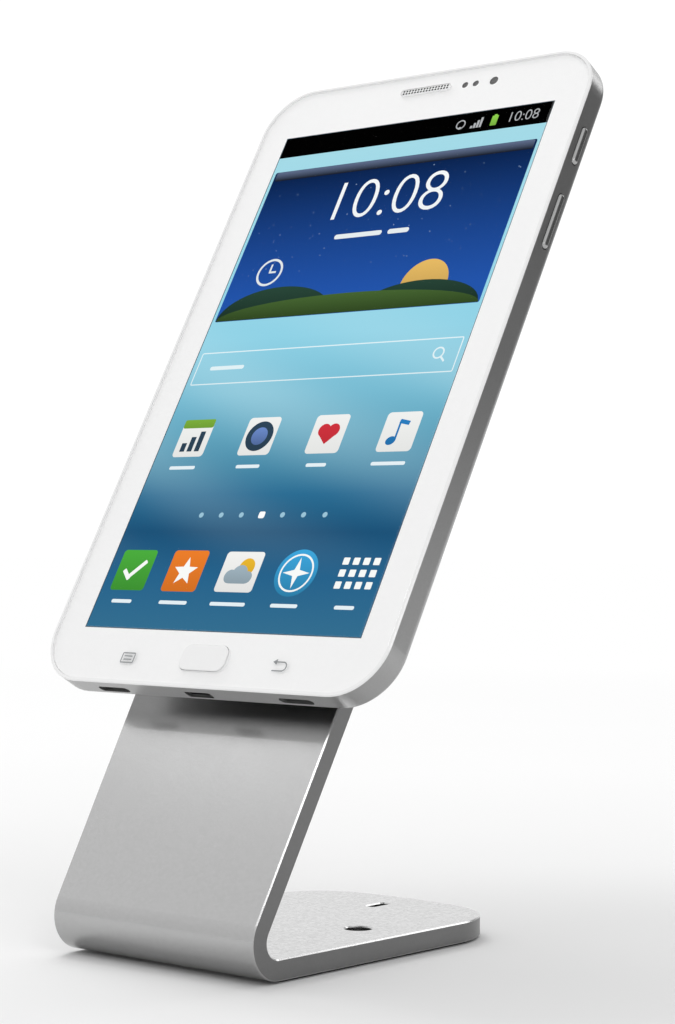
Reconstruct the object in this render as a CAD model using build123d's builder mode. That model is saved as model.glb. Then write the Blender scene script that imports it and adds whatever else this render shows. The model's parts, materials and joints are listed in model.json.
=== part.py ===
from build123d import *
import math
import os

# A seven inch tablet held on a counter stand that is bent from one aluminium plate.
# Origin: on the counter, midway between the two bolt holes of the base.
# +X to the right of a person who faces the tablet, +Y away from them, +Z up. Millimetres.

# Stand plate
plate_thickness = 5.0
bend_outer_radius = 9.0
lean_angle = 60.4
waist_width = 64.9
base_length = 89.0
base_flare = 1.05
base_back_bow = 5.0
base_corner_radius = 20.0
neck_length = 171.0
neck_flare = 3.35
neck_corner_radius = 12.0
plate_edge_chamfer = 0.3

# Holes of the base
bolt_line = 43.7
bolt_spacing = 38.7
bolt_hole_radius = 3.4
lock_slot_back = 14.0
lock_slot_width = 3.0
lock_slot_length = 7.4
lock_slot_corner = 0.8

# Non-slip pad
pad_thickness = 0.6
pad_inset = 1.5
pad_hole_margin = 0.6

# Mounting plate, its adhesive and its screws
mounting_plate_width = 86.0
mounting_plate_height = 110.0
mounting_plate_thickness = 5.0
mounting_plate_corner = 10.0
mounting_plate_chamfer = 0.5
mounting_plate_drop = 12.0
adhesive_thickness = 1.3
adhesive_inset = 3.0
screw_spacing_x = 44.0
screw_spacing_y = 56.0
screw_radius = 2.0
screw_grip = 3.0
screw_thread_clearance = 0.05
screw_hole_clearance = 0.2
tapped_hole_floor = 0.8
screw_head_radius = 3.8
screw_head_height = 2.2
screw_head_edge = 0.6
screw_socket_radius = 1.45
screw_socket_depth = 1.2
screw_socket_pin_radius = 0.5

# Tablet outline and its layers, front to back
tablet_width = 110.2
tablet_height = 185.0
tablet_thickness = 7.8
tablet_corner_radius = 14.0
tablet_centre_height = 143.3
rim_width = 0.9
rim_depth = 0.4
rim_chamfer = 0.22
rim_clearance = 0.05
glass_thickness = 0.55
glass_chamfer = 0.12
mask_gap = 0.02
mask_thickness = 0.08
panel_thickness = 1.1
backlight_thickness = 0.6
chassis_plate = 0.6
frame_wall = 1.4
frame_ledge_clearance = 0.1
cover_side_height = 2.4
cover_side_flat = 0.1
cover_floor = 1.0
cover_wall = 2.3
chassis_clearance = 0.15
slip_clearance = 0.05

# Borders between the tablet's edges and its display
display_side_border = 10.1
display_top_border = 16.2
display_bottom_border = 15.4
panel_side_margin = 2.0
panel_end_margin = 2.3
panel_gap = 0.2

# Earpiece, front camera and light sensor
earpiece_from_top = 6.1
earpiece_slot_length = 16.7
earpiece_slot_width = 2.0
grille_recess = 0.1
grille_clearance = 0.1
grille_flange_overlap = 0.7
grille_flange_thickness = 0.1
grille_hole_radius = 0.32
grille_hole_pitch = 0.98
grille_row_pitch = 0.8
grille_columns = 16
grille_rows = 2
receiver_length = 12.0
receiver_width = 4.6
front_camera_place = 22.3
front_camera_window_radius = 1.3
front_camera_size = 6.0
front_camera_barrel_radius = 2.0
front_camera_barrel_length = 0.5
front_camera_body_depth = 2.2
sensor_place = 14.65
sensor_window_spacing = 3.5
sensor_window_radius = 0.95
sensor_length = 7.0
sensor_width = 3.0
sensor_thickness = 0.9

# Home button and its switch
home_rise = 0.2
home_length = 14.7
home_width = 6.7
home_corner = 2.4
home_stand_out = 0.35
home_edge_round = 0.2
home_clearance = 0.15
home_flange_overlap = 0.8
home_flange_thickness = 0.4
home_travel = 0.35
home_plunger_radius = 0.7
home_switch_length = 5.0
home_switch_width = 3.6
home_switch_floor = 0.1
home_well_clearance = 0.15
home_pocket_margin = 0.4

# Side keys and their switches
key_seam_gap = 0.1
key_width = 2.2
key_clearance = 0.15
key_stand_out = 0.7
key_crest_share = 0.82
key_flange_thickness = 0.6
key_flange_width = 3.0
key_flange_overlap = 0.8
key_stem_width = 1.4
key_stem_length = 1.7
key_travel = 0.3
power_key_from_top = 29.35
power_key_length = 11.1
power_flange_gap = 0.1
power_stem_width = 3.0
volume_key_from_top = 52.35
volume_key_length = 16.1
volume_flange_gap = 0.4
volume_rib_width = 1.0
volume_rib_gap = 0.05
volume_stem_spacing = 10.4
volume_stem_width = 2.0
plunger_radius = 0.65
plunger_length = 0.85
plunger_grip = 0.3
switch_thickness = 1.6
switch_length = 4.5
switch_width = 2.8
switch_well_spare = 0.2
switch_well_clearance = 0.2
key_flex_thickness = 0.15
key_flex_end = 1.1
key_bay_margin = 2.2
key_wall = 1.4
key_wall_margin = 2.0

# Openings of the lower and upper edges
port_seam_gap = 1.45
speaker_from_side = 25.3
speaker_slot_length = 10.3
speaker_slot_width = 2.4
speaker_length = 16.0
speaker_height = 10.0
speaker_snout_length = 12.0
speaker_snout_width = 2.2
mesh_length = 11.9
mesh_width = 2.6
mesh_thickness = 0.2
mesh_hole_radius = 0.3
mesh_hole_pitch = 0.95
mesh_columns = 10
mesh_rows = 2
usb_place = -1.0
usb_slot_length = 8.4
usb_slot_width = 2.65
usb_length = 7.5
usb_width = 2.4
usb_corner = 0.7
usb_recess = 0.6
usb_body_depth = 4.7
usb_wall = 0.3
usb_tongue_length = 5.0
usb_tongue_thickness = 0.6
usb_tongue_recess = 0.8
jack_from_side = 17.0
jack_hole_radius = 1.9
jack_bore_radius = 1.78
jack_body_radius = 2.15
jack_body_length = 11.0
jack_bore_length = 10.0

# Boards, battery and what they carry
back_gap = 0.45
board_thickness = 0.8
boss_height = 0.8
boss_radius = 1.6
board_screw_radius = 0.7
board_screw_clearance = 0.1
board_screw_grip = 1.1
board_screw_head_radius = 1.2
board_screw_head_height = 0.5
pilot_spare = 0.05
board_side_inset = 7.1
board_edge_gap = 0.6
board_camera_gap = 0.5
board_strip_height = 43.5
board_column_width = 15.5
board_column_length = 42.0
board_screw_inset = 4.0
sub_board_gap = 2.3
sub_board_from_bottom = 2.7
sub_board_height = 11.3
sub_board_screw_inset = 3.0
shield_height = 1.4
shield_wall = 0.2
strip_shield_place_shares = ((0.25, 0.5), (0.6, 0.5))
strip_shield_size_shares = ((0.32, 0.64), (0.25, 0.55))
column_shield_place_shares = (0.5, 0.52)
column_shield_size_shares = (0.7, 0.6)
chip_height = 0.9
chip_share = 0.5
battery_top_gap = 6.0
battery_side_gap = 1.5
battery_from_bottom = 24.5
battery_edge_round = 1.0
flex_thickness = 0.15
battery_lead_width = 8.0
battery_lead_overlap = 4.0
battery_lead_place = -20.0
display_flex_width = 18.0
display_flex_camera_gap = 4.0
display_flex_reach = 1.2
display_flex_overlap = 3.5
display_flex_drop = 0.45
sub_flex_width = 3.5
sub_flex_start_inset = 7.5
sub_flex_start_overlap = 3.5
sub_flex_battery_gap = 5.0
sub_flex_column_inset = 1.8
sub_flex_end_overlap = 6.0
motor_from_side = 13.1
motor_from_bottom = 22.5
motor_radius = 4.0
motor_thickness = 2.8
antenna_place = 10.0
antenna_from_top = 12.5
antenna_width = 30.0
antenna_height = 7.0
antenna_thickness = 0.2

# Rear camera
rear_camera_from_side = 25.1
rear_camera_from_top = 12.5
rear_camera_size = 8.0
ring_radius = 3.45
ring_flange_overlap = 0.75
ring_flange_thickness = 0.2
ring_stand_out = 0.2
ring_wall = 0.65
ring_step = 0.5
window_thickness = 0.6
ring_lip = 0.2

# Snap tabs of the rear cover
tab_length = 10.0
tab_thickness = 0.8
tab_height = 1.2
tab_gap = 0.1
side_tab_pitch = 50.0
key_side_tab_pitch = 38.0
end_tab_share = 0.5

# One overrun serves all cuts
overrun = 1.0

# Stand: places that follow from its sizes
lean = math.radians(lean_angle)
bend_y = -bolt_line
base_underside = pad_thickness
bend_axis_z = base_underside + bend_outer_radius
neck_foot = (
    0,
    bend_y - bend_outer_radius * math.sin(lean),
    bend_axis_z + bend_outer_radius * math.cos(lean),
)
neck_front = Plane(origin=neck_foot, x_dir=(1, 0, 0), z_dir=(0, -math.sin(lean), math.cos(lean)))
neck_back = neck_front.offset(-plate_thickness)
neck_top_width = waist_width + 2 * neck_flare
base_back_width = waist_width + 2 * base_flare
lock_slot_y = base_length - lock_slot_back - bolt_line
screw_centre = tablet_centre_height - mounting_plate_drop
tablet_stack = mounting_plate_thickness + adhesive_thickness + tablet_thickness
tablet_centre = neck_front.from_local_coords((0, tablet_centre_height, tablet_stack))
tablet_front = Plane(origin=tablet_centre, x_dir=(1, 0, 0), z_dir=neck_front.z_dir)

# Tablet layers: depths behind its front
mask_depth = glass_thickness + mask_gap
panel_depth = mask_depth + mask_thickness
backlight_depth = panel_depth + panel_thickness
plate_depth = backlight_depth + backlight_thickness
chassis_back = plate_depth + chassis_plate
board_depth = chassis_back + boss_height
board_back = board_depth + board_thickness
cover_inside = tablet_thickness - cover_floor
seam_depth = tablet_thickness - cover_side_height
key_depth = seam_depth - key_seam_gap - key_flange_width / 2
port_depth = seam_depth - port_seam_gap
jack_depth = seam_depth - jack_body_radius - slip_clearance
inner_thickness = cover_inside - back_gap - chassis_back
port_front = port_depth - max(mesh_width, usb_width) / 2
port_relief = chassis_back - port_front + slip_clearance

# Tablet outline: insets and what they leave
half_width = tablet_width / 2
half_height = tablet_height / 2
glass_inset = rim_width + rim_clearance
chassis_inset = frame_wall + chassis_clearance
display_width = tablet_width - 2 * display_side_border
display_height = tablet_height - display_top_border - display_bottom_border
display_centre = (display_bottom_border - display_top_border) / 2
panel_width = display_width + 2 * panel_side_margin
panel_height = display_height + 2 * panel_end_margin
panel_top = display_centre + panel_height / 2

# Places of the features, measured from the tablet's centre
earpiece_height = half_height - earpiece_from_top
home_height = display_bottom_border / 2 + home_rise - half_height
power_key_height = half_height - power_key_from_top
volume_key_height = half_height - volume_key_from_top
volume_key_bottom = volume_key_height - volume_key_length / 2
power_key_top = power_key_height + power_key_length / 2
jack_place = half_width - jack_from_side
speaker_place = half_width - speaker_from_side
rear_camera_place = (rear_camera_from_side - half_width, half_height - rear_camera_from_top)
window_radius = ring_radius - ring_wall

# Key bay: insets behind the right side
power_flange_front = frame_wall + power_flange_gap
power_flange_back = power_flange_front + key_flange_thickness
volume_flange_front = frame_wall + volume_flange_gap
volume_flange_back = volume_flange_front + key_flange_thickness
key_stem_end = power_flange_back + key_stem_length
switch_front = key_stem_end + plunger_length - plunger_grip
switch_back = switch_front + switch_thickness
switch_well_depth = plunger_grip + key_travel + switch_well_spare
key_bay_inset = switch_back + key_flex_thickness
key_bay_bottom = volume_key_bottom - key_bay_margin
key_bay_top = power_key_top + key_bay_margin

# Boards and battery: edges measured from the tablet's centre
board_left = board_side_inset - half_width
board_right = half_width - key_bay_inset - key_wall - board_edge_gap
board_top = rear_camera_place[1] - rear_camera_size / 2 - board_camera_gap
board_bottom = board_top - board_strip_height
board_column_left = board_right - board_column_width
board_column_bottom = board_bottom - board_column_length
sub_board_width = 2 * (speaker_place - speaker_length / 2 - sub_board_gap)
sub_board_bottom = sub_board_from_bottom - half_height
sub_board_top = sub_board_bottom + sub_board_height
display_flex_left = rear_camera_place[0] + rear_camera_size / 2 + display_flex_camera_gap
battery_left = board_left
battery_right = board_column_left - battery_side_gap
battery_top = board_bottom - battery_top_gap
battery_bottom = battery_from_bottom - half_height


def layer(depth):
    """Plane parallel to the tablet's front, this deep behind it: X right, Y up the tablet, Z outwards."""
    return tablet_front.offset(-depth)


def side_plane(inset, height, depth):
    """Plane that faces out of the tablet's right side: X up the tablet, Y towards its front."""
    origin = tablet_front.from_local_coords((half_width - inset, height, -depth))
    return Plane(origin=origin, x_dir=tablet_front.y_dir, z_dir=tablet_front.x_dir)


def lower_plane(inset, place, depth):
    """Plane that faces out of the tablet's lower edge: X right, Y towards its front."""
    origin = tablet_front.from_local_coords((place, inset - half_height, -depth))
    return Plane(origin=origin, x_dir=tablet_front.x_dir, z_dir=-tablet_front.y_dir)


def upper_plane(inset, place, depth):
    """Plane that faces out of the tablet's upper edge: X left, Y towards its front."""
    origin = tablet_front.from_local_coords((place, half_height - inset, -depth))
    return Plane(origin=origin, x_dir=-tablet_front.x_dir, z_dir=tablet_front.y_dir)


def tablet_outline(inset):
    """The tablet's rounded outline, drawn in by this much all round."""
    with BuildSketch() as outline:
        RectangleRounded(tablet_width - 2 * inset, tablet_height - 2 * inset, tablet_corner_radius - inset)
    return outline.sketch


def base_outline(inset):
    """Outline of the base from the bend's tangent line back, drawn in by this much all round."""
    side_y = base_length - base_back_bow - bolt_line
    with BuildSketch() as outline:
        with BuildLine():
            Polyline(
                (-base_back_width / 2, side_y),
                (-waist_width / 2, bend_y),
                (waist_width / 2, bend_y),
                (base_back_width / 2, side_y),
            )
            ThreePointArc(
                (base_back_width / 2, side_y),
                (0, base_length - bolt_line),
                (-base_back_width / 2, side_y),
            )
        make_face()
        fillet(outline.vertices().group_by(Axis.Y)[-1], radius=base_corner_radius)
        if inset > 0:
            offset(amount=-inset, mode=Mode.REPLACE)
    return outline.sketch


def lock_slot(margin):
    """The lock slot's outline, larger by this margin all round."""
    with BuildSketch() as outline:
        with Locations((0, lock_slot_y)):
            RectangleRounded(
                lock_slot_width + 2 * margin,
                lock_slot_length + 2 * margin,
                lock_slot_corner,
            )
    return outline.sketch


def is_bend_seam(edge):
    """True for a line across the whole width, where the bend meets the base or the neck."""
    return edge.length > waist_width - plate_edge_chamfer


def is_across_plate(edge):
    """True for a line from one skin of the plate to the other."""
    return abs(edge.length - plate_thickness) < plate_edge_chamfer


# Stand body: base, bend and neck in one plate
with BuildPart() as stand_body:
    with BuildSketch(Plane.XY.offset(base_underside)):
        add(base_outline(0))
    extrude(amount=plate_thickness)
    bend_start = Plane(
        origin=(0, bend_y, base_underside + plate_thickness / 2),
        x_dir=(1, 0, 0),
        z_dir=(0, -1, 0),
    )
    with BuildSketch(bend_start):
        Rectangle(waist_width, plate_thickness)
    bend_axis = Axis((0, bend_y, bend_axis_z), (-1, 0, 0))
    revolve(axis=bend_axis, revolution_arc=180 - lean_angle)
    with BuildSketch(neck_back) as neck_outline:
        with BuildLine():
            Polyline(
                (-waist_width / 2, 0),
                (waist_width / 2, 0),
                (neck_top_width / 2, neck_length),
                (-neck_top_width / 2, neck_length),
                close=True,
            )
        make_face()
        top_corners = neck_outline.vertices().group_by(Axis.Y)[-1]
        fillet(top_corners, radius=neck_corner_radius)
    extrude(amount=plate_thickness)
    with BuildSketch(Plane.XY):
        with GridLocations(bolt_spacing, bolt_spacing, 2, 1):
            Circle(bolt_hole_radius)
        add(lock_slot(0))
    extrude(amount=base_underside + plate_thickness + overrun, mode=Mode.SUBTRACT)
    with BuildSketch(neck_back):
        with Locations((0, screw_centre)):
            with GridLocations(screw_spacing_x, screw_spacing_y, 2, 2):
                Circle(screw_radius + screw_hole_clearance)
    extrude(amount=plate_thickness, mode=Mode.SUBTRACT)
    straight_edges = stand_body.edges().filter_by(GeomType.LINE)
    bend_seams = straight_edges.filter_by(Axis.X).filter_by(is_bend_seam)
    cross_edges = straight_edges.filter_by(is_across_plate)
    chamfer(stand_body.edges() - bend_seams - cross_edges, length=plate_edge_chamfer)
stand_body.part.label = "stand_body"

# Non-slip pad under the base
with BuildPart() as base_pad:
    with BuildSketch(Plane.XY):
        add(base_outline(pad_inset))
        with GridLocations(bolt_spacing, bolt_spacing, 2, 1):
            Circle(bolt_hole_radius + pad_hole_margin, mode=Mode.SUBTRACT)
        add(lock_slot(pad_hole_margin), mode=Mode.SUBTRACT)
    extrude(amount=pad_thickness)
base_pad.part.label = "base_pad"

# Mounting plate between the neck and the tablet, with four tapped blind holes
with BuildPart() as mounting_plate:
    with BuildSketch(neck_front):
        with Locations((0, screw_centre)):
            RectangleRounded(mounting_plate_width, mounting_plate_height, mounting_plate_corner)
    extrude(amount=mounting_plate_thickness)
    plate_faces = mounting_plate.faces().filter_by(neck_front)
    chamfer(plate_faces.edges(), length=mounting_plate_chamfer)
    with BuildSketch(neck_front):
        with Locations((0, screw_centre)):
            with GridLocations(screw_spacing_x, screw_spacing_y, 2, 2):
                Circle(screw_radius + screw_thread_clearance)
    extrude(amount=mounting_plate_thickness - tapped_hole_floor, mode=Mode.SUBTRACT)
mounting_plate.part.label = "mounting_plate"

# Foam adhesive between the mounting plate and the tablet's back
with BuildPart() as adhesive_pad:
    with BuildSketch(neck_front.offset(mounting_plate_thickness)):
        with Locations((0, screw_centre)):
            RectangleRounded(
                mounting_plate_width - 2 * adhesive_inset,
                mounting_plate_height - 2 * adhesive_inset,
                mounting_plate_corner - adhesive_inset,
            )
    extrude(amount=adhesive_thickness)
adhesive_pad.part.label = "adhesive_pad"

# Four button-head screws with a pin in their hexagon socket
with BuildPart() as plate_screws:
    with BuildSketch(neck_back):
        with Locations((0, screw_centre)):
            with GridLocations(screw_spacing_x, screw_spacing_y, 2, 2):
                Circle(screw_head_radius)
    extrude(amount=-screw_head_height)
    head_faces = plate_screws.faces().filter_by(neck_back).group_by(Axis(neck_back.origin, neck_back.z_dir))
    fillet(head_faces[0].edges(), radius=screw_head_height - screw_head_edge)
    with BuildSketch(neck_back.offset(-screw_head_height)):
        with Locations((0, screw_centre)):
            with GridLocations(screw_spacing_x, screw_spacing_y, 2, 2):
                RegularPolygon(screw_socket_radius, 6)
                Circle(screw_socket_pin_radius, mode=Mode.SUBTRACT)
    extrude(amount=screw_socket_depth, mode=Mode.SUBTRACT)
    with BuildSketch(neck_back):
        with Locations((0, screw_centre)):
            with GridLocations(screw_spacing_x, screw_spacing_y, 2, 2):
                Circle(screw_radius)
    extrude(amount=plate_thickness + screw_grip)
plate_screws.part.label = "plate_screws"

# Front glass, with slots for the earpiece and the home button
with BuildPart() as cover_glass:
    with BuildSketch(layer(0)):
        add(tablet_outline(glass_inset))
    extrude(amount=-glass_thickness)
    front_face = cover_glass.faces().filter_by(tablet_front).group_by(
        Axis(tablet_front.origin, tablet_front.z_dir)
    )[-1]
    chamfer(front_face.edges(), length=glass_chamfer)
    with BuildSketch(layer(0)):
        with Locations((0, earpiece_height)):
            SlotOverall(earpiece_slot_length, earpiece_slot_width)
        with Locations((0, home_height)):
            RectangleRounded(
                home_length + 2 * home_clearance,
                home_width + 2 * home_clearance,
                home_corner + home_clearance,
            )
    extrude(amount=-glass_thickness, mode=Mode.SUBTRACT)
cover_glass.part.label = "cover_glass"

# White printed border behind the glass
with BuildPart() as bezel_mask:
    with BuildSketch(layer(mask_depth)):
        add(tablet_outline(glass_inset))
        with Locations((0, display_centre)):
            Rectangle(display_width, display_height, mode=Mode.SUBTRACT)
        with Locations((0, earpiece_height)):
            SlotOverall(earpiece_slot_length, earpiece_slot_width, mode=Mode.SUBTRACT)
        with Locations((front_camera_place, earpiece_height)):
            Circle(front_camera_window_radius, mode=Mode.SUBTRACT)
        with Locations((sensor_place, earpiece_height)):
            with GridLocations(sensor_window_spacing, sensor_window_spacing, 2, 1):
                Circle(sensor_window_radius, mode=Mode.SUBTRACT)
        with Locations((0, home_height)):
            RectangleRounded(
                home_length + 2 * home_clearance,
                home_width + 2 * home_clearance,
                home_corner + home_clearance,
                mode=Mode.SUBTRACT,
            )
    extrude(amount=-mask_thickness)
bezel_mask.part.label = "bezel_mask"

# White rim round the glass, seated on the side frame
with BuildPart() as front_rim:
    with BuildSketch(layer(0)):
        add(tablet_outline(0))
    extrude(amount=-rim_depth)
    rim_face = front_rim.faces().filter_by(tablet_front).group_by(
        Axis(tablet_front.origin, tablet_front.z_dir)
    )[-1]
    chamfer(rim_face.edges(), length=rim_chamfer)
    with BuildSketch(layer(0)):
        add(tablet_outline(rim_width))
    extrude(amount=-rim_depth, mode=Mode.SUBTRACT)
front_rim.part.label = "front_rim"

# Liquid crystal panel
with BuildPart() as display_panel:
    with BuildSketch(layer(panel_depth)):
        with Locations((0, display_centre)):
            Rectangle(panel_width, panel_height)
    extrude(amount=-panel_thickness)
display_panel.part.label = "display_panel"

# Light unit behind the panel
with BuildPart() as backlight:
    with BuildSketch(layer(backlight_depth)):
        with Locations((0, display_centre)):
            Rectangle(panel_width, panel_height)
    extrude(amount=-backlight_thickness)
backlight.part.label = "backlight"

# Board screw places: four on the main board, one on its column, two on the sub board
main_screw_places = [
    (board_left + board_screw_inset, board_bottom + board_screw_inset),
    (board_left + board_screw_inset, board_top - board_screw_inset),
    (board_right - board_screw_inset, board_top - board_screw_inset),
    (board_right - board_screw_inset, board_column_bottom + board_screw_inset),
]
sub_screw_places = [
    (side * (sub_board_width / 2 - sub_board_screw_inset), sub_board_top - sub_board_screw_inset)
    for side in (-1, 1)
]
screw_places = main_screw_places + sub_screw_places

# Chassis: tray that carries the display in front, the boards and battery behind
home_pocket_length = home_length + 2 * (home_flange_overlap + home_pocket_margin)
home_pocket_width = home_width + 2 * (home_flange_overlap + home_pocket_margin)
with BuildPart() as chassis:
    with BuildSketch(layer(panel_depth)):
        add(tablet_outline(chassis_inset))
    extrude(amount=-(chassis_back - panel_depth))
    with BuildSketch(layer(panel_depth)):
        with Locations((0, display_centre)):
            Rectangle(panel_width + 2 * panel_gap, panel_height + 2 * panel_gap)
        with Locations((0, home_height)):
            RectangleRounded(home_pocket_length, home_pocket_width, home_corner)
    extrude(amount=-(plate_depth - panel_depth), mode=Mode.SUBTRACT)
    with BuildSketch(layer(panel_depth)):
        with Locations((sensor_place, earpiece_height)):
            Rectangle(sensor_length + 2 * panel_gap, sensor_width + 2 * panel_gap)
    extrude(amount=-sensor_thickness, mode=Mode.SUBTRACT)
    with BuildSketch(layer(panel_depth)):
        with Locations((0, earpiece_height)):
            Rectangle(
                earpiece_slot_length + 2 * (grille_flange_overlap + panel_gap),
                receiver_width + 2 * panel_gap,
            )
        with Locations((front_camera_place, earpiece_height)):
            Rectangle(front_camera_size + 2 * panel_gap, front_camera_size + 2 * panel_gap)
        with Locations((jack_place, half_height)):
            Rectangle(
                2 * (jack_body_radius + panel_gap),
                2 * (frame_wall + jack_body_length + panel_gap + slip_clearance),
            )
        with Locations((display_flex_left + display_flex_width / 2, panel_top + display_flex_reach)):
            Rectangle(display_flex_width + 2 * panel_gap, 2 * display_flex_reach)
        with Locations((half_width, (key_bay_bottom + key_bay_top) / 2)):
            Rectangle(2 * key_bay_inset, key_bay_top - key_bay_bottom)
    extrude(amount=-(chassis_back - panel_depth), mode=Mode.SUBTRACT)
    with BuildSketch(layer(chassis_back)):
        with Locations((usb_place, -half_height)):
            Rectangle(
                usb_length + 2 * panel_gap,
                2 * (usb_recess + usb_body_depth + panel_gap),
            )
        with Locations((-speaker_place, -half_height), (speaker_place, -half_height)):
            Rectangle(
                speaker_snout_length + 2 * panel_gap,
                2 * (cover_wall + slip_clearance + panel_gap),
            )
    extrude(amount=port_relief, mode=Mode.SUBTRACT)
    with BuildSketch(layer(chassis_back)):
        with Locations((half_width - key_bay_inset - key_wall / 2, (key_bay_bottom + key_bay_top) / 2)):
            Rectangle(key_wall, key_bay_top - key_bay_bottom - 2 * key_wall_margin)
    extrude(amount=-(key_depth + switch_width / 2 - chassis_back))
    with BuildSketch(layer(chassis_back)):
        with Locations(*screw_places):
            Circle(boss_radius)
    extrude(amount=-boss_height)
    with BuildSketch(layer(board_depth)):
        with Locations(*screw_places):
            Circle(board_screw_radius + slip_clearance)
    extrude(amount=board_screw_grip + pilot_spare, mode=Mode.SUBTRACT)
chassis.part.label = "chassis"

# Grey metal band round the tablet
with BuildPart() as side_frame:
    with BuildSketch(layer(rim_depth)):
        add(tablet_outline(0))
        add(tablet_outline(frame_wall), mode=Mode.SUBTRACT)
    extrude(amount=-(seam_depth - rim_depth))
    with BuildSketch(layer(rim_depth)):
        add(tablet_outline(glass_inset - frame_ledge_clearance))
    extrude(amount=-(panel_depth + slip_clearance - rim_depth), mode=Mode.SUBTRACT)
    for height, length in ((power_key_height, power_key_length), (volume_key_height, volume_key_length)):
        with BuildSketch(side_plane(0, height, key_depth)):
            SlotOverall(length + 2 * key_clearance, key_width + 2 * key_clearance)
        extrude(amount=-(frame_wall + overrun), mode=Mode.SUBTRACT)
    for side in (-1, 1):
        with BuildSketch(lower_plane(0, side * speaker_place, port_depth)):
            SlotOverall(speaker_slot_length, speaker_slot_width)
        extrude(amount=-(frame_wall + overrun), mode=Mode.SUBTRACT)
    with BuildSketch(lower_plane(0, usb_place, port_depth)):
        RectangleRounded(usb_slot_length, usb_slot_width, usb_corner)
    extrude(amount=-(frame_wall + overrun), mode=Mode.SUBTRACT)
    with BuildSketch(upper_plane(0, jack_place, jack_depth)):
        Circle(jack_hole_radius)
    extrude(amount=-(frame_wall + overrun), mode=Mode.SUBTRACT)
side_frame.part.label = "side_frame"

# Rear cover: shallow tray with a rounded back edge, a camera hole and snap tabs
tab_inset = frame_wall + tab_gap + tab_thickness / 2
end_tab_room = speaker_place - mesh_length / 2 - usb_slot_length / 2 - abs(usb_place)
end_tab_length = end_tab_share * end_tab_room
end_tab_pitch = 2 * (speaker_place - mesh_length / 2) - end_tab_room
left_tabs = [(tab_inset - half_width, step * side_tab_pitch) for step in (-1, 0, 1)]
right_tabs = [
    (half_width - tab_inset, -side_tab_pitch),
    (half_width - tab_inset, key_side_tab_pitch - side_tab_pitch),
]
with BuildPart() as rear_cover:
    with BuildSketch(layer(seam_depth)):
        add(tablet_outline(0))
    extrude(amount=-(tablet_thickness - seam_depth))
    back_face = rear_cover.faces().filter_by(tablet_front).group_by(
        Axis(tablet_front.origin, tablet_front.z_dir)
    )[0]
    fillet(back_face.edges(), radius=cover_side_height - cover_side_flat)
    with BuildSketch(layer(seam_depth)):
        add(tablet_outline(cover_wall))
    extrude(amount=-(cover_inside - seam_depth), mode=Mode.SUBTRACT)
    with BuildSketch(layer(seam_depth)):
        with Locations(rear_camera_place):
            Circle(ring_radius + slip_clearance)
    extrude(amount=-(tablet_thickness - seam_depth), mode=Mode.SUBTRACT)
    with BuildSketch(layer(seam_depth)):
        with Locations(*left_tabs, *right_tabs):
            Rectangle(tab_thickness, tab_length)
        with GridLocations(end_tab_pitch, tablet_height - 2 * tab_inset, 2, 2):
            Rectangle(end_tab_length, tab_thickness)
    extrude(amount=tab_height)
rear_cover.part.label = "rear_cover"

# Battery pack on the back of the chassis
battery_centre = ((battery_left + battery_right) / 2, (battery_bottom + battery_top) / 2)
with BuildPart() as battery:
    with BuildSketch(layer(chassis_back)):
        with Locations(battery_centre):
            Rectangle(battery_right - battery_left, battery_top - battery_bottom)
    extrude(amount=-inner_thickness)
    battery_sides = battery.edges().filter_by(Axis.X)
    fillet(battery_sides, radius=battery_edge_round)
battery.part.label = "battery"

# Lead from the battery to the main board
with BuildPart() as battery_lead:
    with BuildSketch(layer(board_back)):
        lead_end = board_bottom + battery_lead_overlap
        with Locations((battery_lead_place, (battery_top + lead_end) / 2)):
            Rectangle(battery_lead_width, lead_end - battery_top)
    extrude(amount=-flex_thickness)
battery_lead.part.label = "battery_lead"

# Main board: a strip across the top with a column down the right side
with BuildPart() as main_board:
    with BuildSketch(layer(board_depth)):
        with BuildLine():
            Polyline(
                (board_left, board_bottom),
                (board_column_left, board_bottom),
                (board_column_left, board_column_bottom),
                (board_right, board_column_bottom),
                (board_right, board_top),
                (board_left, board_top),
                close=True,
            )
        make_face()
        with Locations(*main_screw_places):
            Circle(board_screw_radius + board_screw_clearance, mode=Mode.SUBTRACT)
    extrude(amount=-board_thickness)
main_board.part.label = "main_board"


def shield_on(left, bottom, width, height, place_shares, size_shares):
    """Centre, width and height of a shield, from its shares of the board region that carries it."""
    centre = (left + width * place_shares[0], bottom + height * place_shares[1])
    return centre, width * size_shares[0], height * size_shares[1]


# Two shields on the board's strip and one on its column
strip_size = (board_right - board_left, board_strip_height)
shields = [
    shield_on(board_left, board_bottom, *strip_size, place_shares, size_shares)
    for place_shares, size_shares in zip(strip_shield_place_shares, strip_shield_size_shares)
]
column_shield = shield_on(
    board_column_left,
    board_column_bottom,
    board_column_width,
    board_column_length,
    column_shield_place_shares,
    column_shield_size_shares,
)
shields.append(column_shield)

# Chips on the main board, one under each shield
with BuildPart() as board_chips:
    for centre, width, height in shields:
        with BuildSketch(layer(board_back)):
            with Locations(centre):
                Rectangle(width * chip_share, height * chip_share)
        extrude(amount=-chip_height)
board_chips.part.label = "board_chips"

# Metal cans over the chips
with BuildPart() as board_shields:
    for centre, width, height in shields:
        with BuildSketch(layer(board_back)):
            with Locations(centre):
                Rectangle(width, height)
        extrude(amount=-shield_height)
        with BuildSketch(layer(board_back)):
            with Locations(centre):
                Rectangle(width - 2 * shield_wall, height - 2 * shield_wall)
        extrude(amount=-(shield_height - shield_wall), mode=Mode.SUBTRACT)
board_shields.part.label = "board_shields"

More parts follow.
